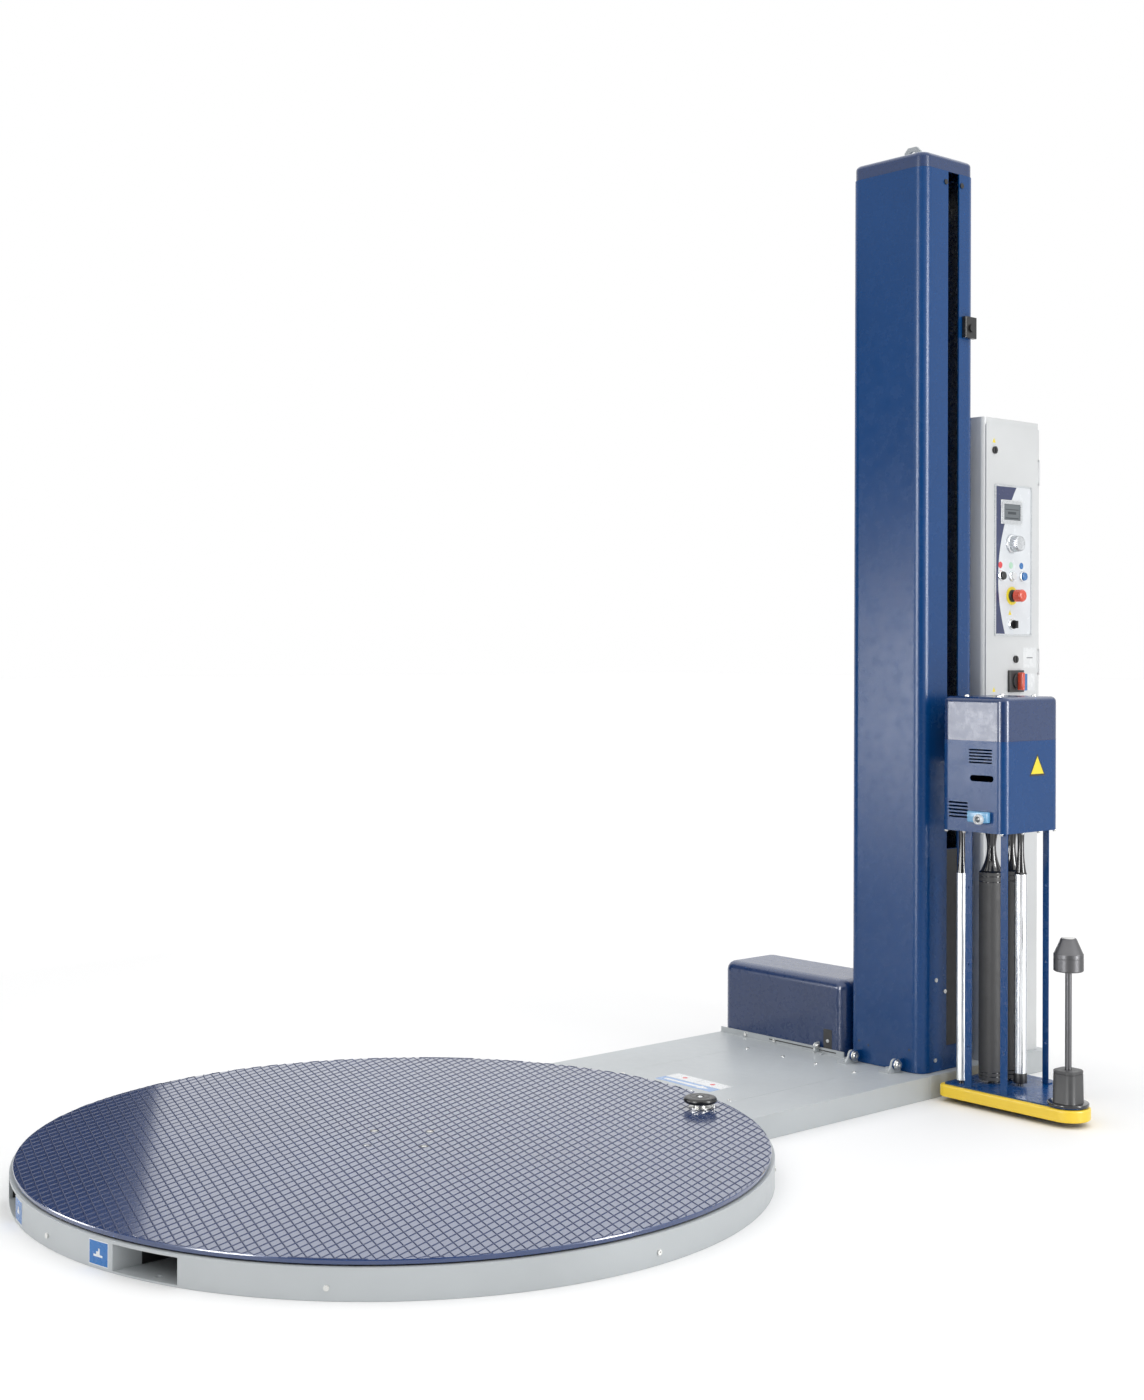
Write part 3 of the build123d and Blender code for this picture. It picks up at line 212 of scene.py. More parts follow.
def facing_x(x):
    """Puts (y, z) on a face that looks along +X, lifted off it."""
    return lambda u, v, lift: Vector((x + lift, u, v))


def facing_front(y):
    """Puts (x, z) on a face that looks along -Y, lifted off it."""
    return lambda u, v, lift: Vector((u, y - lift, v))


def facing_up(z):
    """Puts (x, y) on a level face, lifted off it."""
    return lambda u, v, lift: Vector((u, v, z + lift))


def raised(place, height):
    """The same face, moved outward."""
    return lambda u, v, lift: place(u, v, lift + height)


def rectangle(low, high, r=0.0):
    """The outline of a rectangle, with rounded corners when r is given."""
    if r == 0:
        return [(low[0], low[1]), (high[0], low[1]), (high[0], high[1]), (low[0], high[1])]
    middles = (
        (high[0] - r, low[1] + r),
        (high[0] - r, high[1] - r),
        (low[0] + r, high[1] - r),
        (low[0] + r, low[1] + r),
    )
    points = []
    for corner, (u, v) in enumerate(middles):
        for step in range(CORNER_STEPS + 1):
            turn = radians(90 * (corner - 1) + 90 / CORNER_STEPS * step)
            points.append((u + r * cos(turn), v + r * sin(turn)))
    return points


def circle(u, v, r, steps=32):
    turns = [2 * pi * k / steps for k in range(steps)]
    return [(u + r * cos(turn), v + r * sin(turn)) for turn in turns]


# ---------------------------------------------------------------- mesh helpers
def piece(name, body, finish, shape, angle=30):
    """Turns a filled bmesh into a piece that rides on a CAD body."""
    mesh = bpy.data.meshes.new(name)
    bmesh.ops.recalc_face_normals(shape, faces=shape.faces)
    shape.to_mesh(mesh)
    shape.free()
    mesh.shade_smooth()
    mesh.set_sharp_from_angle(angle=radians(angle))
    mesh.materials.append(finishes[finish].data)
    made = bpy.data.objects.new(name, mesh)
    scene.collection.objects.link(made)
    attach(made, body)
    return made


def rounded_box(shape, low, high, r, segments=3):
    """A box with every edge rounded."""
    made = bmesh.ops.create_cube(shape, size=1)["verts"]
    for vert in made:
        vert.co = Vector(
            [low[k] if vert.co[k] < 0 else high[k] for k in range(3)]
        )
    edges = {edge for vert in made for edge in vert.link_edges}
    bmesh.ops.bevel(
        shape, geom=list(edges), offset=r, segments=segments, profile=0.5, affect="EDGES"
    )


def bridge(shape, rings):
    """Joins each ring of vertices to the next with a band of faces."""
    for near, far in zip(rings, rings[1:]):
        for k in range(len(near)):
            after = (k + 1) % len(near)
            shape.faces.new((near[k], near[after], far[after], far[k]))


def lathe(shape, start, axis, profile, steps=48, lobes=0, lobe_depth=0.0):
    """Turns a profile of (radius, height) points about an axis, with optional flutes."""
    axis = Vector(axis).normalized()
    side = axis.orthogonal().normalized()
    other = axis.cross(side)
    rings = []
    for r, height in profile:
        middle = Vector(start) + axis * height
        if r == 0:
            rings.append([shape.verts.new(middle)])
            continue
        ring = []
        for step in range(steps):
            turn = 2 * pi * step / steps
            reach = r * (1 - lobe_depth * (0.5 + 0.5 * cos(lobes * turn))) if lobes else r
            spot = middle + side * reach * cos(turn) + other * reach * sin(turn)
            ring.append(shape.verts.new(spot))
        rings.append(ring)
    for near, far in zip(rings, rings[1:]):
        for step in range(steps):
            after = (step + 1) % steps
            if len(near) == 1:
                shape.faces.new((near[0], far[after], far[step]))
            elif len(far) == 1:
                shape.faces.new((near[step], near[after], far[0]))
            else:
                shape.faces.new((near[step], near[after], far[after], far[step]))


def soft_disc(r, low, high, round_r, inner=0.0):
    """The profile of a disc or ring whose outer edges are rounded."""
    points = [(inner, low), (r - round_r, low)]
    for step in range(1, 4):
        turn = radians(30 * step)
        points.append((r - round_r + round_r * sin(turn), low + round_r - round_r * cos(turn)))
    for step in range(0, 4):
        turn = radians(30 * step)
        points.append((r - round_r + round_r * cos(turn), high - round_r + round_r * sin(turn)))
    points.append((inner, high))
    if inner > 0:
        points.append((inner, low))
    return points


def socket_screw(shape, start, axis, r, height):
    """A domed screw head with a hexagon socket sunk into it."""
    head = [(0, 0), (r, 0), (r, 0.45 * height), (0.93 * r, 0.75 * height)]
    head += [(0.72 * r, height), (0.5 * r, height)]
    lathe(shape, start, axis, head, 24)
    socket = [(0.5 * r, height), (0.46 * r, 0.4 * height), (0, 0.4 * height)]
    lathe(shape, start, axis, socket, 6)


def hexagon_bolt(shape, start, axis, r, height):
    """A bolt head on its washer."""
    lathe(shape, start, axis, soft_disc(1.35 * r, 0, 0.25 * height, 0.1 * height), 32)
    head = [(0, 0.25 * height), (r, 0.25 * height), (r, 0.9 * height), (0.88 * r, height), (0, height)]
    lathe(shape, start, axis, head, 6)


def prism(shape, outline, place, thickness):
    """A thin plate: an outline of (u, v) points put in place by a function of (u, v, lift)."""
    low = [shape.verts.new(place(u, v, 0)) for u, v in outline]
    high = [shape.verts.new(place(u, v, thickness)) for u, v in outline]
    shape.faces.new(low[::-1])
    shape.faces.new(high)
    bridge(shape, [low, high])


# ---------------------------------------------------------------- pieces made in one step
def flat_label(name, body, finish, outline, place, thickness=LABEL_H):
    shape = bmesh.new()
    prism(shape, outline, place, thickness)
    return piece(name, body, finish, shape)


def turned(name, body, finish, start, axis, profile, steps=48, angle=30):
    shape = bmesh.new()
    lathe(shape, start, axis, profile, steps)
    return piece(name, body, finish, shape, angle)


def boxed(name, body, finish, low, high, r, segments=3):
    shape = bmesh.new()
    rounded_box(shape, low, high, r, segments)
    return piece(name, body, finish, shape)


# ---------------------------------------------------------------- turntable plate
plate_low, plate_high = box("table_plate")
plate_r = plate_high.x
plate_top = plate_high.z
plate_under = plate_low.z
rib_pitch = 22.6 * MM
rib_foot = 3.6 * MM
rib_crest = 1.3 * MM
rib_h = 1.1 * MM
edge_round = 2.5 * MM
rib_angles = (radians(109.7), radians(160.3))
hub_screw_r = 89 * MM
hub_screw_turns = [radians(2 + 90 * k) for k in range(4)]
hub_screws = [
    Vector((hub_screw_r * cos(turn), hub_screw_r * sin(turn), 0)) for turn in hub_screw_turns
]


def tread_plate():
    """A round plate with two crossing families of raised ribs."""
    lattice_r = plate_r - edge_round
    across = [Vector((-sin(a), cos(a))) for a in rib_angles]
    spread = across[0].x * across[1].y - across[0].y * across[1].x
    reach = ceil(lattice_r / rib_pitch) + 1
    stops = []
    for rib in range(-reach, reach + 1):
        middle = rib * rib_pitch
        for step, height in (
            (-rib_foot / 2, 0.0),
            (-rib_crest / 2, rib_h),
            (rib_crest / 2, rib_h),
            (rib_foot / 2, 0.0),
        ):
            stops.append((middle + step, height))
    shape = bmesh.new()
    grid = {}
    inside = {}
    for i, (u, u_height) in enumerate(stops):
        for j, (v, v_height) in enumerate(stops):
            x = (u * across[1].y - v * across[0].y) / spread
            y = (v * across[0].x - u * across[1].x) / spread
            r = sqrt(x * x + y * y)
            if r > lattice_r + 2.5 * rib_pitch:
                continue
            inside[i, j] = r < lattice_r
            if r > lattice_r:
                x, y = x * lattice_r / r, y * lattice_r / r
            grid[i, j] = shape.verts.new((x, y, plate_top - rib_h + max(u_height, v_height)))
    for i in range(len(stops) - 1):
        for j in range(len(stops) - 1):
            keys = ((i, j), (i + 1, j), (i + 1, j + 1), (i, j + 1))
            if all(key in grid for key in keys) and any(inside[key] for key in keys):
                shape.faces.new([grid[key] for key in keys])
    bmesh.ops.delete(shape, geom=[v for v in shape.verts if not v.link_faces], context="VERTS")
    bmesh.ops.remove_doubles(shape, verts=shape.verts, dist=0.2 * MM)
    for r, z in (
        (plate_r - 0.8 * MM, plate_top - 1.4 * MM),
        (plate_r, plate_top - edge_round - 0.8 * MM),
        (plate_r, plate_under + MM),
        (plate_r - MM, plate_under),
    ):
        rim = [edge for edge in shape.edges if edge.is_boundary]
        made = bmesh.ops.extrude_edge_only(shape, edges=rim)["geom"]
        for vert in (item for item in made if isinstance(item, bmesh.types.BMVert)):
            flat = Vector((vert.co.x, vert.co.y)).normalized() * r
            vert.co = (flat.x, flat.y, z)
    bmesh.ops.edgeloop_fill(shape, edges=[edge for edge in shape.edges if edge.is_boundary])
    made = piece("tread_plate", "table", "table_paint", shape, 20)
    made.data.materials.append(finishes["tread_rib"].data)
    for face in made.data.polygons:
        height = face.center.z - (plate_top - rib_h)
        face.material_index = int(height > 0.1 * rib_h or face.center.z < plate_under)
    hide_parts("table_plate")
    return made


def bore_plate(plate):
    """Sinks the four screw holes into the plate."""
    shape = bmesh.new()
    for place in hub_screws:
        foot = place + Z_AXIS * (plate_top - 7 * MM)
        lathe(shape, foot, Z_AXIS, mm((0, 0), (10, 0), (10, 12), (0, 12)), 32)
    mesh = bpy.data.meshes.new("bore_tool")
    bmesh.ops.recalc_face_normals(shape, faces=shape.faces)
    shape.to_mesh(mesh)
    shape.free()
    tool = bpy.data.objects.new("bore_tool", mesh)
    scene.collection.objects.link(tool)
    cut = plate.modifiers.new("bores", "BOOLEAN")
    cut.operation = "DIFFERENCE"
    cut.solver = "EXACT"
    cut.object = tool
    depsgraph = bpy.context.evaluated_depsgraph_get()
    result = bpy.data.meshes.new_from_object(plate.evaluated_get(depsgraph))
    plate.modifiers.remove(cut)
    plate.data = result
    bpy.data.objects.remove(tool)


plate = tread_plate()
bore_plate(plate)
shape = bmesh.new()
for place in hub_screws:
    seat = place + Z_AXIS * (plate_top - 1.2 * MM)
    lathe(shape, seat, Z_AXIS, mm((8, 0), (9.9, 0), (9.9, 0.5), (8, 0.5), (8, 0)), 32)
piece("hub_screw_seats", "table", "black_trim", shape)
shape = bmesh.new()
for place in hub_screws:
    socket_screw(shape, place + Z_AXIS * (plate_top - 6 * MM), Z_AXIS, 7.9 * MM, 5.6 * MM)
piece("hub_screws", "table", "zinc_steel", shape)

# ---------------------------------------------------------------- film clamp on the plate
knob_low, knob_high = box("film_clamp_knob")
knob_mid = centre(knob_low, knob_high)
knob_r = (knob_high.x - knob_low.x) / 2
knob_foot = Vector((knob_mid.x, knob_mid.y, knob_low.z))
knob_h = knob_high.z - knob_low.z
disc_h = 15 * MM


def knob_profile():
    """Stem, underside and rounded rim of the clamp's knob, with a groove in its top."""
    low = knob_h - disc_h
    points = [(0, 0), (8.9 * MM, 0), (8.9 * MM, low - 3 * MM), (15 * MM, low - 2 * MM)]
    points += [(0.62 * knob_r, low), (0.8 * knob_r, low + 0.4 * MM)]
    half = disc_h / 2
    for step in range(0, 7):
        turn = radians(-75 + 25 * step)
        points.append((knob_r - half + half * cos(turn), low + half + 0.96 * half * sin(turn)))
    points += [
        (0.62 * knob_r, knob_h),
        (0.58 * knob_r, knob_h - 0.9 * MM),
        (0.54 * knob_r, knob_h),
        (0.26 * knob_r, knob_h - 0.3 * MM),
        (0.24 * knob_r, knob_h - 1.2 * MM),
        (0, knob_h - 1.2 * MM),
    ]
    return points


knob = turned(
    "clamp_knob", "film_clamp", "black_plastic",
    knob_foot, Z_AXIS, knob_profile(), 64, 40,
)
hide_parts("film_clamp_knob")
shape = bmesh.new()
socket_screw(shape, knob_foot + Z_AXIS * (knob_h - 1.4 * MM), Z_AXIS, 6 * MM, 1.3 * MM)
piece("clamp_knob_screw", "film_clamp", "chrome_steel", shape)

# ---------------------------------------------------------------- labels on the ring and platform
ring_high = box("ring_skirt")[1]
ring_r = ring_high.x
label_half_h = 23.5 * MM
label_mid_z = 29.5 * MM


def on_ring(middle):
    """Puts (distance along the ring, height) on the ring's outer face about an angle."""

    def place(u, v, lift):
        turn = radians(middle) + u / ring_r
        return Vector(((ring_r + lift) * cos(turn), (ring_r + lift) * sin(turn), label_mid_z + v))

    return place


def curved_label(name, finish, middle, low, high, thickness):
    """A label bent to the ring, as strips narrow enough to follow it."""
    shape = bmesh.new()
    place = on_ring(middle)
    strips = 10
    width = (high[0] - low[0]) / strips
    columns = []
    for k in range(strips + 1):
        u = low[0] + k * width
        section = ((low[1], 0.0), (high[1], 0.0), (high[1], thickness), (low[1], thickness))
        columns.append([shape.verts.new(place(u, v, t)) for v, t in section])
    bridge(shape, columns)
    shape.faces.new(columns[0])
    shape.faces.new(columns[-1][::-1])
    piece(name, "base", finish, shape)


ring_labels = ((1, -78.45, 28 * MM), (2, -102.55, 29 * MM))
label_border = 1.6 * MM
for number, middle, half_w in ring_labels:
    for name, finish, margin, thickness in (
        ("ring_label_edge", "white_film", 0.0, FILM_H),
        ("ring_label", "blue_film", label_border, PRINT_H),
    ):
        w, h = half_w - margin, label_half_h - margin
        curved_label(f"{name}_{number}", finish, middle, (-w, -h), (w, h), thickness)
fork_sign = mm(
    (-14, -7), (12, -7), (12, -3), (4, -3), (4, 9), (0, 9), (0, 3), (-6, 3), (-6, -3), (-14, -3)
)
arrow_sign = mm((-10, -6), (10, -6), (0, 9))
for label, outline in zip(ring_labels, (fork_sign, arrow_sign)):
    place = on_ring(label[1])
    flat_label(f"ring_sign_{label[0]}", "base", "white_film", outline, place, 0.55 * MM)

# black sheets on the roof, walls and back inside the fork pockets: painted shade for their deep, dark
# interiors
pocket_low, pocket_high = box("fork_pockets")
pocket_w = 150 * MM
pocket_wall = 3 * MM
mouth_inset = 8 * MM
stop_depth = 1.1
for number, side in ((1, 1), (2, -1)):
    near_x = side * (pocket_high.x - pocket_w)
    far_x = side * (pocket_high.x - pocket_wall)
    low_x, high_x = sorted((near_x, far_x))
    start_y = mouth_inset - sqrt(ring_r**2 - far_x**2)
    stop_y = start_y + stop_depth
    roof_z = pocket_high.z - pocket_wall
    shape = bmesh.new()
    for low, high in (
        ((low_x, start_y, roof_z - MM), (high_x, pocket_high.y, roof_z)),
        ((low_x, start_y, pocket_low.z), (low_x + MM, pocket_high.y, roof_z)),
        ((high_x - MM, start_y, pocket_low.z), (high_x, pocket_high.y, roof_z)),
        ((low_x, stop_y, pocket_low.z), (high_x, stop_y + 2 * MM, roof_z)),
    ):
        rounded_box(shape, low, high, 0.3 * MM, 1)
    piece(f"pocket_painted_shade_{number}", "base", "black_trim", shape)

# the label on the platform: a strip with an arrow, and a sign on either side of the middle
deck_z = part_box("platform_cover")[1][2]
on_deck = facing_up(deck_z)
label_near, label_seam, label_far = 0.886, 0.924, 0.970
label_half = 98 * MM
flat_label(
    "deck_label_strip", "base", "pale_blue_film",
    rectangle((-label_half, label_near), (label_half, label_seam)), on_deck, FILM_H,
)
arrow_y = (label_near + label_seam) / 2
arrow_tail, arrow_neck, arrow_tip = -80 * MM, 42 * MM, 76 * MM
arrow_half, arrow_barb = 6 * MM, 13 * MM
arrow = [
    (arrow_tail, arrow_y - arrow_half),
    (arrow_neck, arrow_y - arrow_half),
    (arrow_neck, arrow_y - arrow_barb),
    (arrow_tip, arrow_y),
    (arrow_neck, arrow_y + arrow_barb),
    (arrow_neck, arrow_y + arrow_half),
    (arrow_tail, arrow_y + arrow_half),
]
flat_label("deck_label_arrow", "base", "white_film", arrow, on_deck, PRINT_H)
mark_y = (label_seam + label_far) / 2
for side, low_x, high_x in (("left", -label_half, -MM), ("right", MM, label_half)):
    sign = rectangle((low_x, label_seam + MM), (high_x, label_far))
    flat_label(f"deck_label_{side}", "base", "white_film", sign, on_deck, FILM_H)
    mark = circle((low_x + high_x) / 2, mark_y, 7 * MM)
    flat_label(f"deck_label_mark_{side}", "base", "red_film", mark, on_deck, PRINT_H)

# ---------------------------------------------------------------- small parts at the mast's foot
mast_high = box("mast_column")[1]
mast_front_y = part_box("mast_cap")[0][1] - 2 * MM
rear_low = box("rear_base")[0]
tie_x = -26 * MM
tie_sheet = 3 * MM
tie_corner = (tie_x - tie_sheet, rear_low.y - 16 * MM, deck_z)
shape = bmesh.new()
rounded_box(shape, tie_corner, (tie_x, rear_low.y + 4 * MM, deck_z + 30 * MM), 0.8 * MM)
rounded_box(shape, tie_corner, (tie_x + 20 * MM, rear_low.y - MM, deck_z + tie_sheet), 0.8 * MM)
piece("tie_bracket", "base", "grey_paint", shape)
bolt_y = rear_low.y - 8 * MM
bolt_z = deck_z + 20 * MM
shape = bmesh.new()
hexagon_bolt(shape, (tie_x, bolt_y, bolt_z), X_AXIS, 6 * MM, 6 * MM)
hexagon_bolt(shape, (tie_x - tie_sheet, bolt_y, bolt_z), -X_AXIS, 6 * MM, 7 * MM)
piece("tie_bolts", "base", "zinc_steel", shape)
# a thin black strip on the flange's front face: painted shade of the gap along the flange
flat_label(
    "flange_gap_shade", "base", "black_trim",
    rectangle((-0.21, deck_z + 7 * MM), (0.035, deck_z + 10 * MM)), facing_front(rear_low.y), 0.4 * MM,
)
shape = bmesh.new()
for x, z in ((0.118, 0.116), (0.150, 0.108), (0.286, 0.118)):
    lathe(shape, (x, mast_front_y, z), -Y_AXIS, mm((0, 0), (3, 0), (3, 0.3), (0, 0.3)), 20)
piece("mast_plugs", "mast", "black_trim", shape)

# ---------------------------------------------------------------- control panel
fascia_low, fascia_high = box("control_fascia")
panel_x = fascia_high.x
door_x = fascia_low.x
on_panel = facing_x(panel_x)
on_door = facing_x(door_x)


def navy_outline():
    """The dark left side of the panel, with a bowed right edge."""
    width = fascia_high.y - fascia_low.y
    height = fascia_high.z - fascia_low.z
    inset = 1.5 * MM
    points = [(fascia_low.y + inset, fascia_low.z + inset)]
    for step in range(25):
        down = 1 - step / 24
        share = 0.07 + 1.33 * (down - 0.62) ** 2
        points.append((fascia_low.y + share * width, fascia_high.z - inset - down * (height - 2 * inset)))
    points.append((fascia_low.y + inset, fascia_high.z - inset))
    return points


flat_label("panel_navy", "door", "navy_film", navy_outline(), on_panel, FILM_H)


def frame_strip(name, low, high, width, place, thickness):
    """A grey frame on the door, between two rectangles, one inside the other."""
    shape = bmesh.new()
    outer = rectangle(low, high, width)
    inner = rectangle((low[0] + width, low[1] + width), (high[0] - width, high[1] - width), 0.2 * MM)
    rings = [
        [shape.verts.new(place(u, v, t)) for u, v in outline]
        for outline, t in ((outer, 0.0), (outer, thickness), (inner, thickness), (inner, 0.0))
    ]
    bridge(shape, rings + rings[:1])
    piece(name, "door", "knob_grey", shape)


frame_strip(
    "panel_frame",
    (fascia_low.y - 4 * MM, fascia_low.z - 4 * MM),
    (fascia_high.y + 4 * MM, fascia_high.z + 4 * MM),
    4.5 * MM, on_door, 3.4 * MM,
)

# the display: a plate, its bezel, the screen and three bars on it
shown_low, shown_high = box("display")
bezel = boxed(
    "display_plate", "door", "white_plastic",
    (panel_x, shown_low.y, shown_low.z), (panel_x + 2.4 * MM, shown_high.y, shown_high.z), 1.1 * MM,
)
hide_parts("display")
on_display = raised(on_panel, 2 * MM)
frame_strip(
    "display_bezel",
    (shown_low.y + 2 * MM, shown_low.z + 2 * MM),
    (shown_high.y - 2 * MM, shown_high.z - 2 * MM),
    9 * MM, on_display, 2 * MM,
)
screen_low = (shown_low.y + 11 * MM, shown_low.z + 11 * MM)
screen_high = (shown_high.y - 11 * MM, shown_high.z - 11 * MM)
screen = rectangle(screen_low, screen_high)
flat_label("display_screen", "door", "screen", screen, on_display, 0.8 * MM)
screen_w = screen_high[0] - screen_low[0]
for row, (start, end, height) in enumerate(((0.1, 0.9, 3.0), (0.25, 0.75, 7.0), (0.1, 0.9, 2.0))):
    foot = screen_low[1] + (4 + 12 * row) * MM
    flat_label(
        f"display_bar_{row + 1}", "door", "screen_ink",
        rectangle(
            (screen_low[0] + start * screen_w, foot), (screen_low[0] + end * screen_w, foot + height * MM)
        ),
        raised(on_panel, 2.8 * MM), 0.15 * MM,
    )

# buttons: a mark above each and a chromed bezel round it, as round the key switch
button_nodes = ("stop_button", "start_button", "reset_button")
button_mids = [centre(*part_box(name)) for name in button_nodes]
for name, finish, middle in zip(button_nodes, ("red_film", "green_film", "reset_blue"), button_mids):
    mark = circle(middle.y - 4 * MM, middle.z + 29 * MM, 9 * MM)
    flat_label(f"{name}_mark", "door", finish, mark, on_panel, PRINT_H)
key_mid = centre(*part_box("key_switch"))
button_bezel = mm((11.3, 0), (15, 0), (15, 2), (13.6, 5), (12, 5.6), (11.3, 5), (11.3, 0))
key_bezel = mm((12.3, 0), (16, 0), (16, 3), (14.5, 6), (12.3, 6.4), (12.3, 0))
shape = bmesh.new()
for middle in button_mids:
    lathe(shape, (panel_x, middle.y, middle.z), X_AXIS, button_bezel)
lathe(shape, (panel_x, key_mid.y, key_mid.z), X_AXIS, key_bezel)
bezels = piece("panel_bezels", "door", "chrome_steel", shape)
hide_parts("control_bezels")

stop_mid = centre(*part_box("emergency_stop"))
stop_foot = (panel_x, stop_mid.y, stop_mid.z)
turned(
    "stop_backplate", "door", "yellow_film", stop_foot, X_AXIS,
    soft_disc(25 * MM, 0, 2.2 * MM, 0.8 * MM, 9.3 * MM), 64,
)
turned(
    "stop_collar", "door", "black_trim", stop_foot, X_AXIS,
    mm((9.3, 2.2), (17, 2.2), (16, 9), (14, 10.4), (9.3, 10.4), (9.3, 2.2)),
)

# the isolator: a disc with a lever across it, on a square plate
isolator_low, isolator_high = box("isolator_handle")
isolator_mid = centre(isolator_low, isolator_high)
disc = turned(
    "isolator_disc", "isolator_handle", "black_trim",
    (isolator_low.x, isolator_mid.y, isolator_mid.z), X_AXIS,
    mm((0, 0), (5, 0), (5, 10.5), (21, 10.5), (21, 14.5), (19.5, 16), (0, 16)), 64, 40,
)
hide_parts("isolator_handle")
boxed(
    "isolator_lever", "isolator_handle", "red_plastic",
    (isolator_high.x - 17 * MM, isolator_mid.y - 6 * MM, isolator_mid.z - 24 * MM),
    (isolator_high.x, isolator_mid.y + 6 * MM, isolator_mid.z + 24 * MM), 2.5 * MM,
)
boxed(
    "isolator_plate", "door", "black_trim",
    (door_x, isolator_mid.y - 33 * MM, isolator_mid.z - 30 * MM),
    (door_x + 8 * MM, isolator_mid.y + 33 * MM, isolator_mid.z + 30 * MM), 1.6 * MM,
)

# labels beside the isolator, placed in millimetres from its middle
for name, finish, low, high, corner_r, thickness in (
    ("isolator_label_blue", "reset_blue", (38, -26), (58, 20), 0, LABEL_H),
    ("isolator_label_white", "white_film", (60, -26), (92, 20), 0, LABEL_H),
    ("door_label_blank", "white_film", (38, 36), (98, 92), 3, LABEL_H),
    ("door_label_line", "screen_ink", (54, 63), (82, 65), 0, 0.4 * MM),
):
    corners = [(isolator_mid.y + u * MM, isolator_mid.z + v * MM) for u, v in (low, high)]
    outline = rectangle(*corners, corner_r * MM)
    flat_label(name, "door", finish, outline, on_door, thickness)
upper_lock = centre(*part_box("upper_lock"))
for name, place, y, z in (
    ("lock_mark", on_door, upper_lock.y - 2 * MM, upper_lock.z + 26 * MM),
    ("key_mark", on_panel, key_mid.y - 8 * MM, key_mid.z + 32 * MM),
    ("foot_mark", on_door, upper_lock.y, isolator_mid.z - 22 * MM),
):
    mark = [(y - 7 * MM, z - 6 * MM), (y + 7 * MM, z - 6 * MM), (y, z + 7 * MM)]
    flat_label(name, "door", "yellow_film", mark, place, 0.3 * MM)

# the encoder's dial: a plain skirt, a fluted grip and a dished cap
encoder_low, encoder_high = box("encoder_knob")
encoder_mid = centre(encoder_low, encoder_high)
encoder_foot = (encoder_low.x, encoder_mid.y, encoder_mid.z)
dial_h = encoder_high.x - encoder_low.x
skirt_h = panel_x + 0.5 * MM - encoder_low.x
skirt = [
    (0, 0), (3 * MM, 0), (3 * MM, skirt_h), (26 * MM, skirt_h), (26 * MM, skirt_h + 2.5 * MM),
    (24.5 * MM, skirt_h + 5 * MM), (22 * MM, skirt_h + 6.5 * MM),
]
grip = [
    (22 * MM, skirt_h + 6.5 * MM), (22.5 * MM, skirt_h + 8 * MM),
    (21 * MM, dial_h - 2.5 * MM), (19.5 * MM, dial_h - 0.6 * MM),
]
cap = [(18.4 * MM, dial_h - 0.6 * MM), (16 * MM, dial_h), (15 * MM, dial_h - MM), (0, dial_h - 1.8 * MM)]
shape = bmesh.new()
lathe(shape, encoder_foot, X_AXIS, skirt, 96)
lathe(shape, encoder_foot, X_AXIS, grip, 96, 24, 0.05)
lathe(shape, encoder_foot, X_AXIS, cap, 96)
bmesh.ops.remove_doubles(shape, verts=shape.verts, dist=0.02 * MM)
encoder = piece("encoder_dial", "encoder_knob", "knob_grey", shape, 40)
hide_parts("encoder_knob")

# ---------------------------------------------------------------- carriage
box_low, box_high = box("carriage_body")
hood_low, hood_high = box("carriage_hood")
sign_mid = Vector((box_low.y + 138.5 * MM, box_high.z - 66 * MM))
for name, finish, size, lift in (
    ("side_sign_edge", "black_trim", 1.0, LABEL_H),
    ("side_sign", "yellow_film", 0.8, 0.4 * MM),
):
    half_w, down, rise = 34 * MM * size, 25 * MM * size, 31 * MM * size
    foot_z = sign_mid.y - down
    triangle = [(sign_mid.x - half_w, foot_z), (sign_mid.x + half_w, foot_z), (sign_mid.x, sign_mid.y + rise)]
    flat_label(name, "carriage", finish, triangle, facing_x(box_high.x), lift)

# bolts under the carriage box and domed screws on its hood
shape = bmesh.new()
corner_gap = 14 * MM
front_span = box_high.x - box_low.x - 2 * corner_gap
side_span = box_high.y - box_low.y - 2 * corner_gap
for step in range(4):
    x = box_low.x + corner_gap + front_span * step / 3
    hexagon_bolt(shape, (x, box_low.y + 6 * MM, box_low.z), -Z_AXIS, 4.2 * MM, 5 * MM)
for step in range(1, 4):
    y = box_low.y + corner_gap + side_span * step / 3
    hexagon_bolt(shape, (box_high.x - 6 * MM, y, box_low.z), -Z_AXIS, 4.2 * MM, 5 * MM)
hood_size = hood_high - hood_low
for x, y in ((0.25, 0.18), (0.75, 0.18), (0.25, 0.82), (0.75, 0.82)):
    top = (hood_low.x + x * hood_size.x, hood_low.y + y * hood_size.y, hood_high.z)
    lathe(shape, top, Z_AXIS, mm((0, 0), (7, 0), (6.4, 2.4), (4, 4.4), (0, 5)), 24)
piece("carriage_fixings", "carriage", "zinc_steel", shape)


def hood_line(outset):
    """The hood's outline, moved outward."""
    low = (hood_low.x - outset, hood_low.y - outset)
    return rectangle(low, (hood_high.x + outset, hood_high.y + outset), 24.3 * MM)


shape = bmesh.new()
lip_low, lip_high = hood_low.z - 0.8 * MM, hood_low.z + 0.8 * MM
outer, inner = hood_line(0.4 * MM), hood_line(-0.3 * MM)
rings = [
    [shape.verts.new((u, v, z)) for u, v in line]
    for line, z in ((outer, lip_low), (outer, lip_high), (inner, lip_high), (inner, lip_low))
]
bridge(shape, rings + rings[:1])
piece("hood_seam", "carriage", "navy_film", shape)

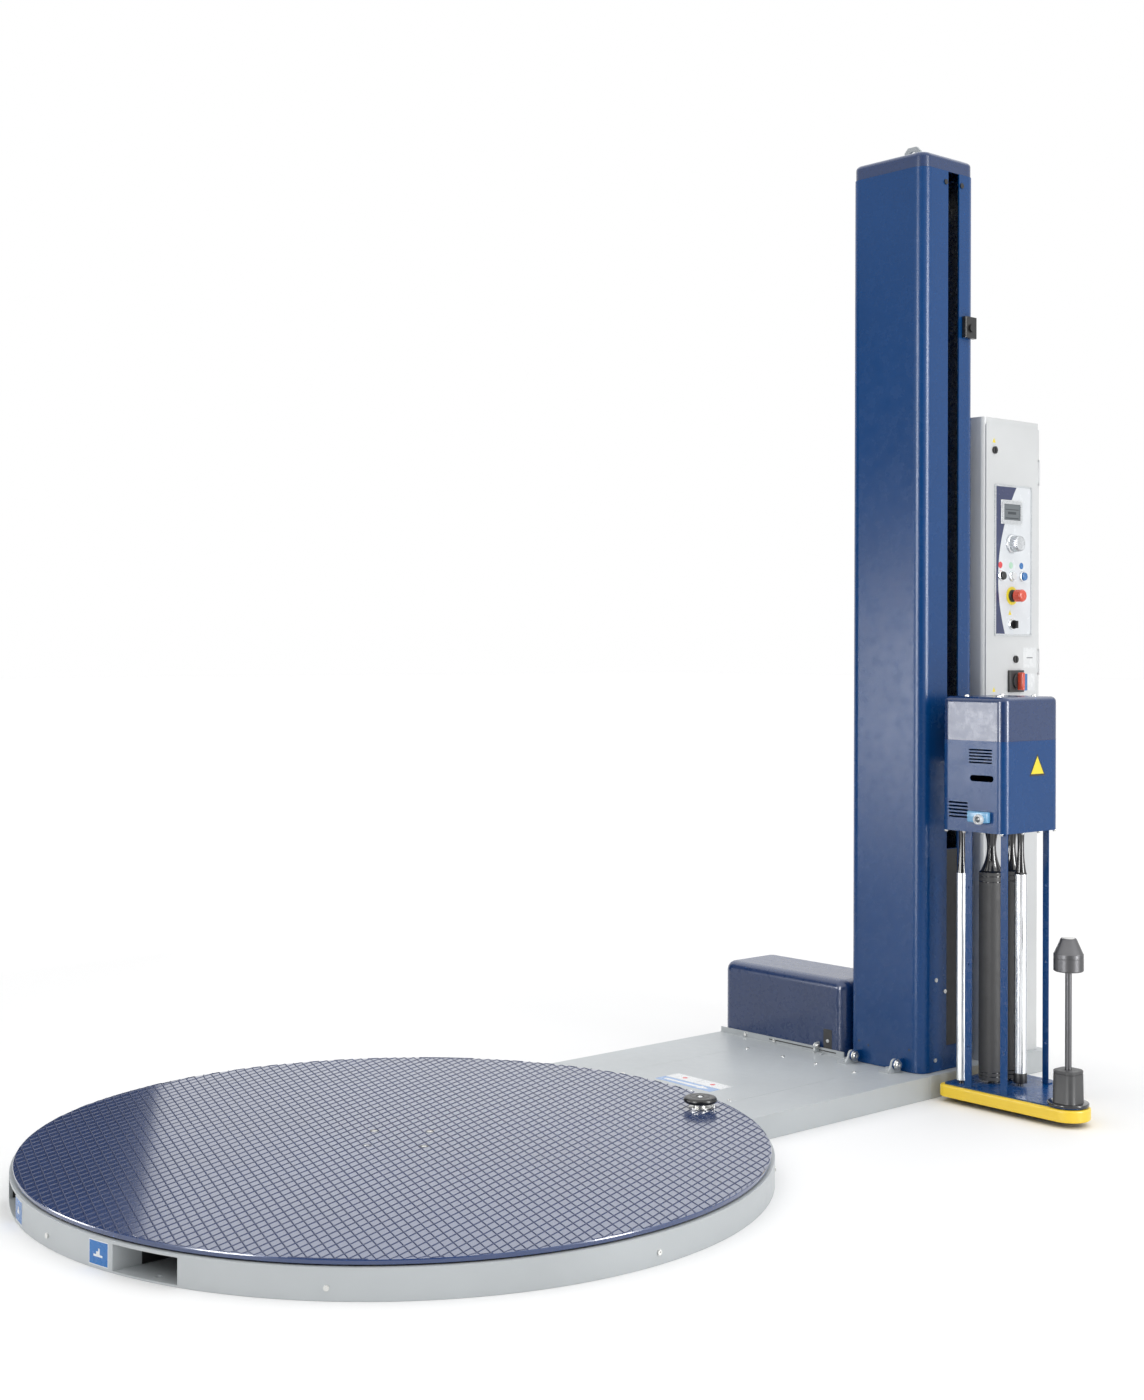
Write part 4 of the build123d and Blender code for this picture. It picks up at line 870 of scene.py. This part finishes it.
# photocell with its lens
cell_low, cell_high = box("photocell")
lens_x, lens_z = cell_low.x + 40 * MM, cell_low.z + 13 * MM
cell_face_y = cell_high.y - 14 * MM
cell = boxed(
    "photocell_case", "carriage", "cell_blue",
    (cell_low.x, cell_face_y, cell_low.z + 4 * MM), cell_high, 3.5 * MM, 4,
)
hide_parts("photocell")
turned(
    "photocell_barrel", "carriage", "white_plastic",
    (lens_x, cell_face_y + MM, lens_z), -Y_AXIS,
    mm((0, 0), (13, 0), (13, 9), (12, 12), (9.6, 12.4), (9, 9), (0, 8)), 48, 40,
)
turned(
    "photocell_lens", "carriage", "screen",
    (lens_x, cell_face_y - 7 * MM, lens_z), -Y_AXIS, mm((0, 0), (8.6, 0), (7, 1.6), (0, 2.6)), 32, 60,
)

# ---------------------------------------------------------------- sleeves on the rollers' drums
deck_box_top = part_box("carriage_deck")[1][2]
drum_foot = deck_box_top + MM
drum_top = box_low.z - 111 * MM
length = drum_top - drum_foot + 0.6 * MM
stretch_drum_r = 31.5 * MM
rollers = {
    "guide_roller_front": (None, "chrome_steel", "satin_steel"),
    "guide_roller_rear": (None, "chrome_steel", "chrome_steel"),
    "stretch_roller_a": (stretch_drum_r, "drum_rubber", "drum_rubber"),
    "stretch_roller_b": (stretch_drum_r, "drum_rubber", "drum_rubber"),
}
for name, (r, slot, finish) in rollers.items():
    low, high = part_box(name)
    middle = centre(low, high)
    r = r or (high[0] - low[0]) / 2
    sleeve_r = r + 0.25 * MM
    groove_r = sleeve_r - 0.9 * MM
    profile = [(r - 4 * MM, -0.3 * MM), (r - 1.5 * MM, -0.3 * MM), (sleeve_r, 1.2 * MM)]
    if finish == "drum_rubber":
        for band in (9 * MM, 19 * MM, length - 26 * MM, length - 12 * MM):
            profile += [(sleeve_r, band), (groove_r, band + 0.6 * MM)]
            profile += [(groove_r, band + 2.2 * MM), (sleeve_r, band + 2.8 * MM)]
    profile += [(sleeve_r, length - 1.8 * MM), (r - 1.5 * MM, length - 0.3 * MM)]
    profile += [(r - 4 * MM, length - 0.3 * MM)]
    nodes[name].data.materials[0] = finishes["neck_black"].data
    foot = (middle.x, middle.y, drum_foot)
    turned(f"{name}_sleeve", name, finish, foot, Z_AXIS, profile, 72, 40)
    if name == "guide_roller_rear":
        turned(
            "guide_rear_collar", name, "black_trim",
            (middle.x, middle.y, drum_foot - 0.5 * MM), Z_AXIS,
            soft_disc(sleeve_r + 0.8 * MM, 0, 26 * MM, MM, r - 2 * MM), 72, 40,
        )

# ---------------------------------------------------------------- film core holder
spindle_low, spindle_high = box("core_spindle")
spool = centre(spindle_low, spindle_high)
spool_foot = Vector((spool.x, spool.y, 0))
block_half = 32 * MM
block_low = deck_box_top + 0.3 * MM
block_high = block_low + 78.7 * MM
cone_foot = spindle_high.z - 81 * MM
cone_step = spindle_high.z - 37 * MM


def soft_square(half, round_r):
    return rectangle((spool.x - half, spool.y - half), (spool.x + half, spool.y + half), round_r)


# the block's levels: height, how far it stands out and its corners' radius, both in millimetres
levels = (
    (block_low, 1, 20),
    (block_low + 4 * MM, 0, 19),
    (block_high - 9 * MM, -1, 19),
    (block_high - 8.4 * MM, -2.2, 18),
    (block_high - 7 * MM, -2.2, 18),
    (block_high - 6.4 * MM, -1, 19),
    (block_high - 1.6 * MM, -1, 19),
    (block_high, -2.6, 18),
)
shape = bmesh.new()
loops = [
    [shape.verts.new((u, v, z)) for u, v in soft_square(block_half + outset * MM, round_r * MM)]
    for z, outset, round_r in levels
]
bridge(shape, loops)
shape.faces.new(loops[0][::-1])
shape.faces.new(loops[-1])
holder = piece("core_block", "core_spindle", "block_grey", shape)
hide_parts("core_spindle")
turned(
    "core_flange_cover", "carriage", "neck_black",
    (spool.x, spool.y, deck_box_top - 6.8 * MM), Z_AXIS,
    soft_disc(50.5 * MM, 0, 7.1 * MM, 2 * MM, 9 * MM), 72, 40,
)
cone_r = 36.5 * MM
groove_r = 35.9 * MM
cone = [
    (0, spindle_low.z), (8 * MM, spindle_low.z), (8 * MM, cone_foot), (34 * MM, cone_foot),
    (cone_r, cone_foot + 2.5 * MM), (cone_r, cone_step - 13 * MM), (groove_r, cone_step - 12.4 * MM),
    (groove_r, cone_step - 11 * MM), (cone_r, cone_step - 10.4 * MM), (36.3 * MM, cone_step - MM),
    (35 * MM, cone_step), (19.2 * MM, spindle_high.z - 1.6 * MM), (17.6 * MM, spindle_high.z - 0.4 * MM),
    (0, spindle_high.z - 0.4 * MM),
]
turned("core_cone", "core_spindle", "cone_grey", spool_foot, Z_AXIS, cone, 72, 35)
cap_low = spindle_high.z - 0.5 * MM
cap = [(0, cap_low), (15 * MM, cap_low), (14.4 * MM, spindle_high.z), (0, spindle_high.z)]
turned("core_cap", "core_spindle", "zinc_steel", spool_foot, Z_AXIS, cap)

# ---------------------------------------------------------------- painted shade on the mast's side and over the cover's notch, and the cover's screw
# a black strip on the mast's side: painted shade where the slot and the shadow beside it look dark
shade_strip_y = mast_front_y + 103 * MM
flat_label(
    "mast_side_painted_shade", "mast", "black_trim",
    rectangle((shade_strip_y + MM, 0.122), (shade_strip_y + 46 * MM, 0.638)),
    facing_x(mast_high.x - 1.4 * MM), 0.6 * MM,
)
cover_low, cover_high = box("motor_cover")
notch_x = cover_high.x - 60 * MM
notch_z = cover_low.z + 10 * MM
notch = rectangle((notch_x - 15 * MM, notch_z), (notch_x + 15 * MM, notch_z + 58 * MM), 3 * MM)
# a flat black panel over the cover's notch: painted shade of the notch's recess
flat_label(
    "cover_notch_painted_shade", "base", "black_trim", notch, facing_front(cover_low.y), 0.6 * MM
)
turned(
    "cover_screw", "base", "white_plastic",
    (notch_x, cover_low.y - 0.5 * MM, notch_z + 26 * MM), -Y_AXIS,
    mm((0, 0), (5, 0), (4.4, 1.6), (2.6, 2.6), (0, 2.8)), 24,
)

# ---------------------------------------------------------------- floor, light and camera
def staged_quad(name, corners, material):
    """One face that belongs to the studio and not to the machine."""
    mesh = bpy.data.meshes.new(name)
    mesh.from_pydata(corners, [], [(0, 1, 2, 3)])
    mesh.materials.append(material.data)
    made = bpy.data.objects.new(name, mesh)
    scene.collection.objects.link(made)
    return made


floor_material = Material("floor", (0.96, 0.96, 0.96), 0.7)
floor_material.shader.inputs["Specular IOR Level"].default_value = 0.1
far = 60.0
floor = staged_quad("floor", [(-far, -far, 0), (far, -far, 0), (far, far, 0), (-far, far, 0)], floor_material)
floor.location.z = -0.5 * MM

# dark panels that only reflections see
flag_material = Material("flag", (0.02, 0.02, 0.025), 0.9)
flag_corners = {
    "flag_left": [(-3, -3.2, 0), (-3, 1.15, 0), (-3, 0.75, 3), (-3, -3.2, 3)],
    "flag_front": [(1.6, -5.2, 0), (5.6, -1.6, 0), (5.6, -1.6, 3.6), (1.6, -5.2, 3.6)],
}
for name, corners in flag_corners.items():
    flag = staged_quad(name, corners, flag_material)
    flag.visible_camera = False
    flag.visible_diffuse = False
    flag.visible_shadow = False

# the white surroundings light matt surfaces less than they show in reflections
matt_loss = 0.58
world = bpy.data.worlds.new("studio")
scene.world = world
world.use_nodes = True
background = world.node_tree.nodes["Background"]
background.inputs["Color"].default_value = (1, 1, 1, 1)
paths = world.node_tree.nodes.new("ShaderNodeLightPath")
dimmed = world.node_tree.nodes.new("ShaderNodeMath")
dimmed.operation = "MULTIPLY_ADD"
dimmed.inputs[1].default_value = -matt_loss
dimmed.inputs[2].default_value = 1.0
world.node_tree.links.new(paths.outputs["Is Diffuse Ray"], dimmed.inputs[0])
world.node_tree.links.new(dimmed.outputs["Value"], background.inputs["Strength"])


def softbox(name, place, target, width, height, power, diffuse=True):
    """A rectangular area light aimed at a point; it may show only in reflections."""
    data = bpy.data.lights.new(name, "AREA")
    data.shape = "RECTANGLE"
    data.size = width
    data.size_y = height
    data.energy = power
    lamp = bpy.data.objects.new(name, data)
    lamp.location = place
    lamp.rotation_euler = (Vector(target) - Vector(place)).to_track_quat("-Z", "Y").to_euler()
    lamp.visible_diffuse = diffuse
    scene.collection.objects.link(lamp)


mast_middle = (0.4, 1.4, 1.2)
softbox("right_strip", (4.8, 2.2, 1.7), mast_middle, 1.1, 3.4, 230, diffuse=False)
softbox("front_strip", (0.6, -4.6, 1.7), (0.3, 1.4, 1.2), 1.3, 3.4, 290, diffuse=False)
softbox("right_fill", (4.6, 1.8, 1.9), mast_middle, 0.8, 2.4, 40)
softbox("left_low", (-2.5, -2.6, 0.9), (0.4, 1.4, 0.9), 1.4, 1.0, 60, diffuse=False)
sun = bpy.data.lights.new("sky_glow", "SUN")
sun.energy = 2.0
sun.angle = radians(120)
scene.collection.objects.link(bpy.data.objects.new("sky_glow", sun))

# a long lens at chest height, turned a little off level
camera_place = (3.375, -2.469, 1.165)
azimuth, pitch, roll = radians(48.97), radians(0.19), radians(0.19)
camera_data = bpy.data.cameras.new("camera")
camera = bpy.data.objects.new("camera", camera_data)
scene.collection.objects.link(camera)
scene.camera = camera
forward = Vector((-sin(azimuth) * cos(pitch), cos(azimuth) * cos(pitch), sin(pitch)))
level_right = Vector((cos(azimuth), sin(azimuth), 0))
level_up = level_right.cross(forward)
right = cos(roll) * level_right + sin(roll) * level_up
up = cos(roll) * level_up - sin(roll) * level_right
turn = Matrix((right, up, -forward)).transposed().to_4x4()
camera.matrix_world = Matrix.Translation(camera_place) @ turn
camera_data.lens = 48.1
camera_data.shift_x = 0.0093
camera_data.shift_y = -0.0414
camera_data.clip_end = 100

scene.view_settings.view_transform = "Standard"
scene.view_settings.look = "None"
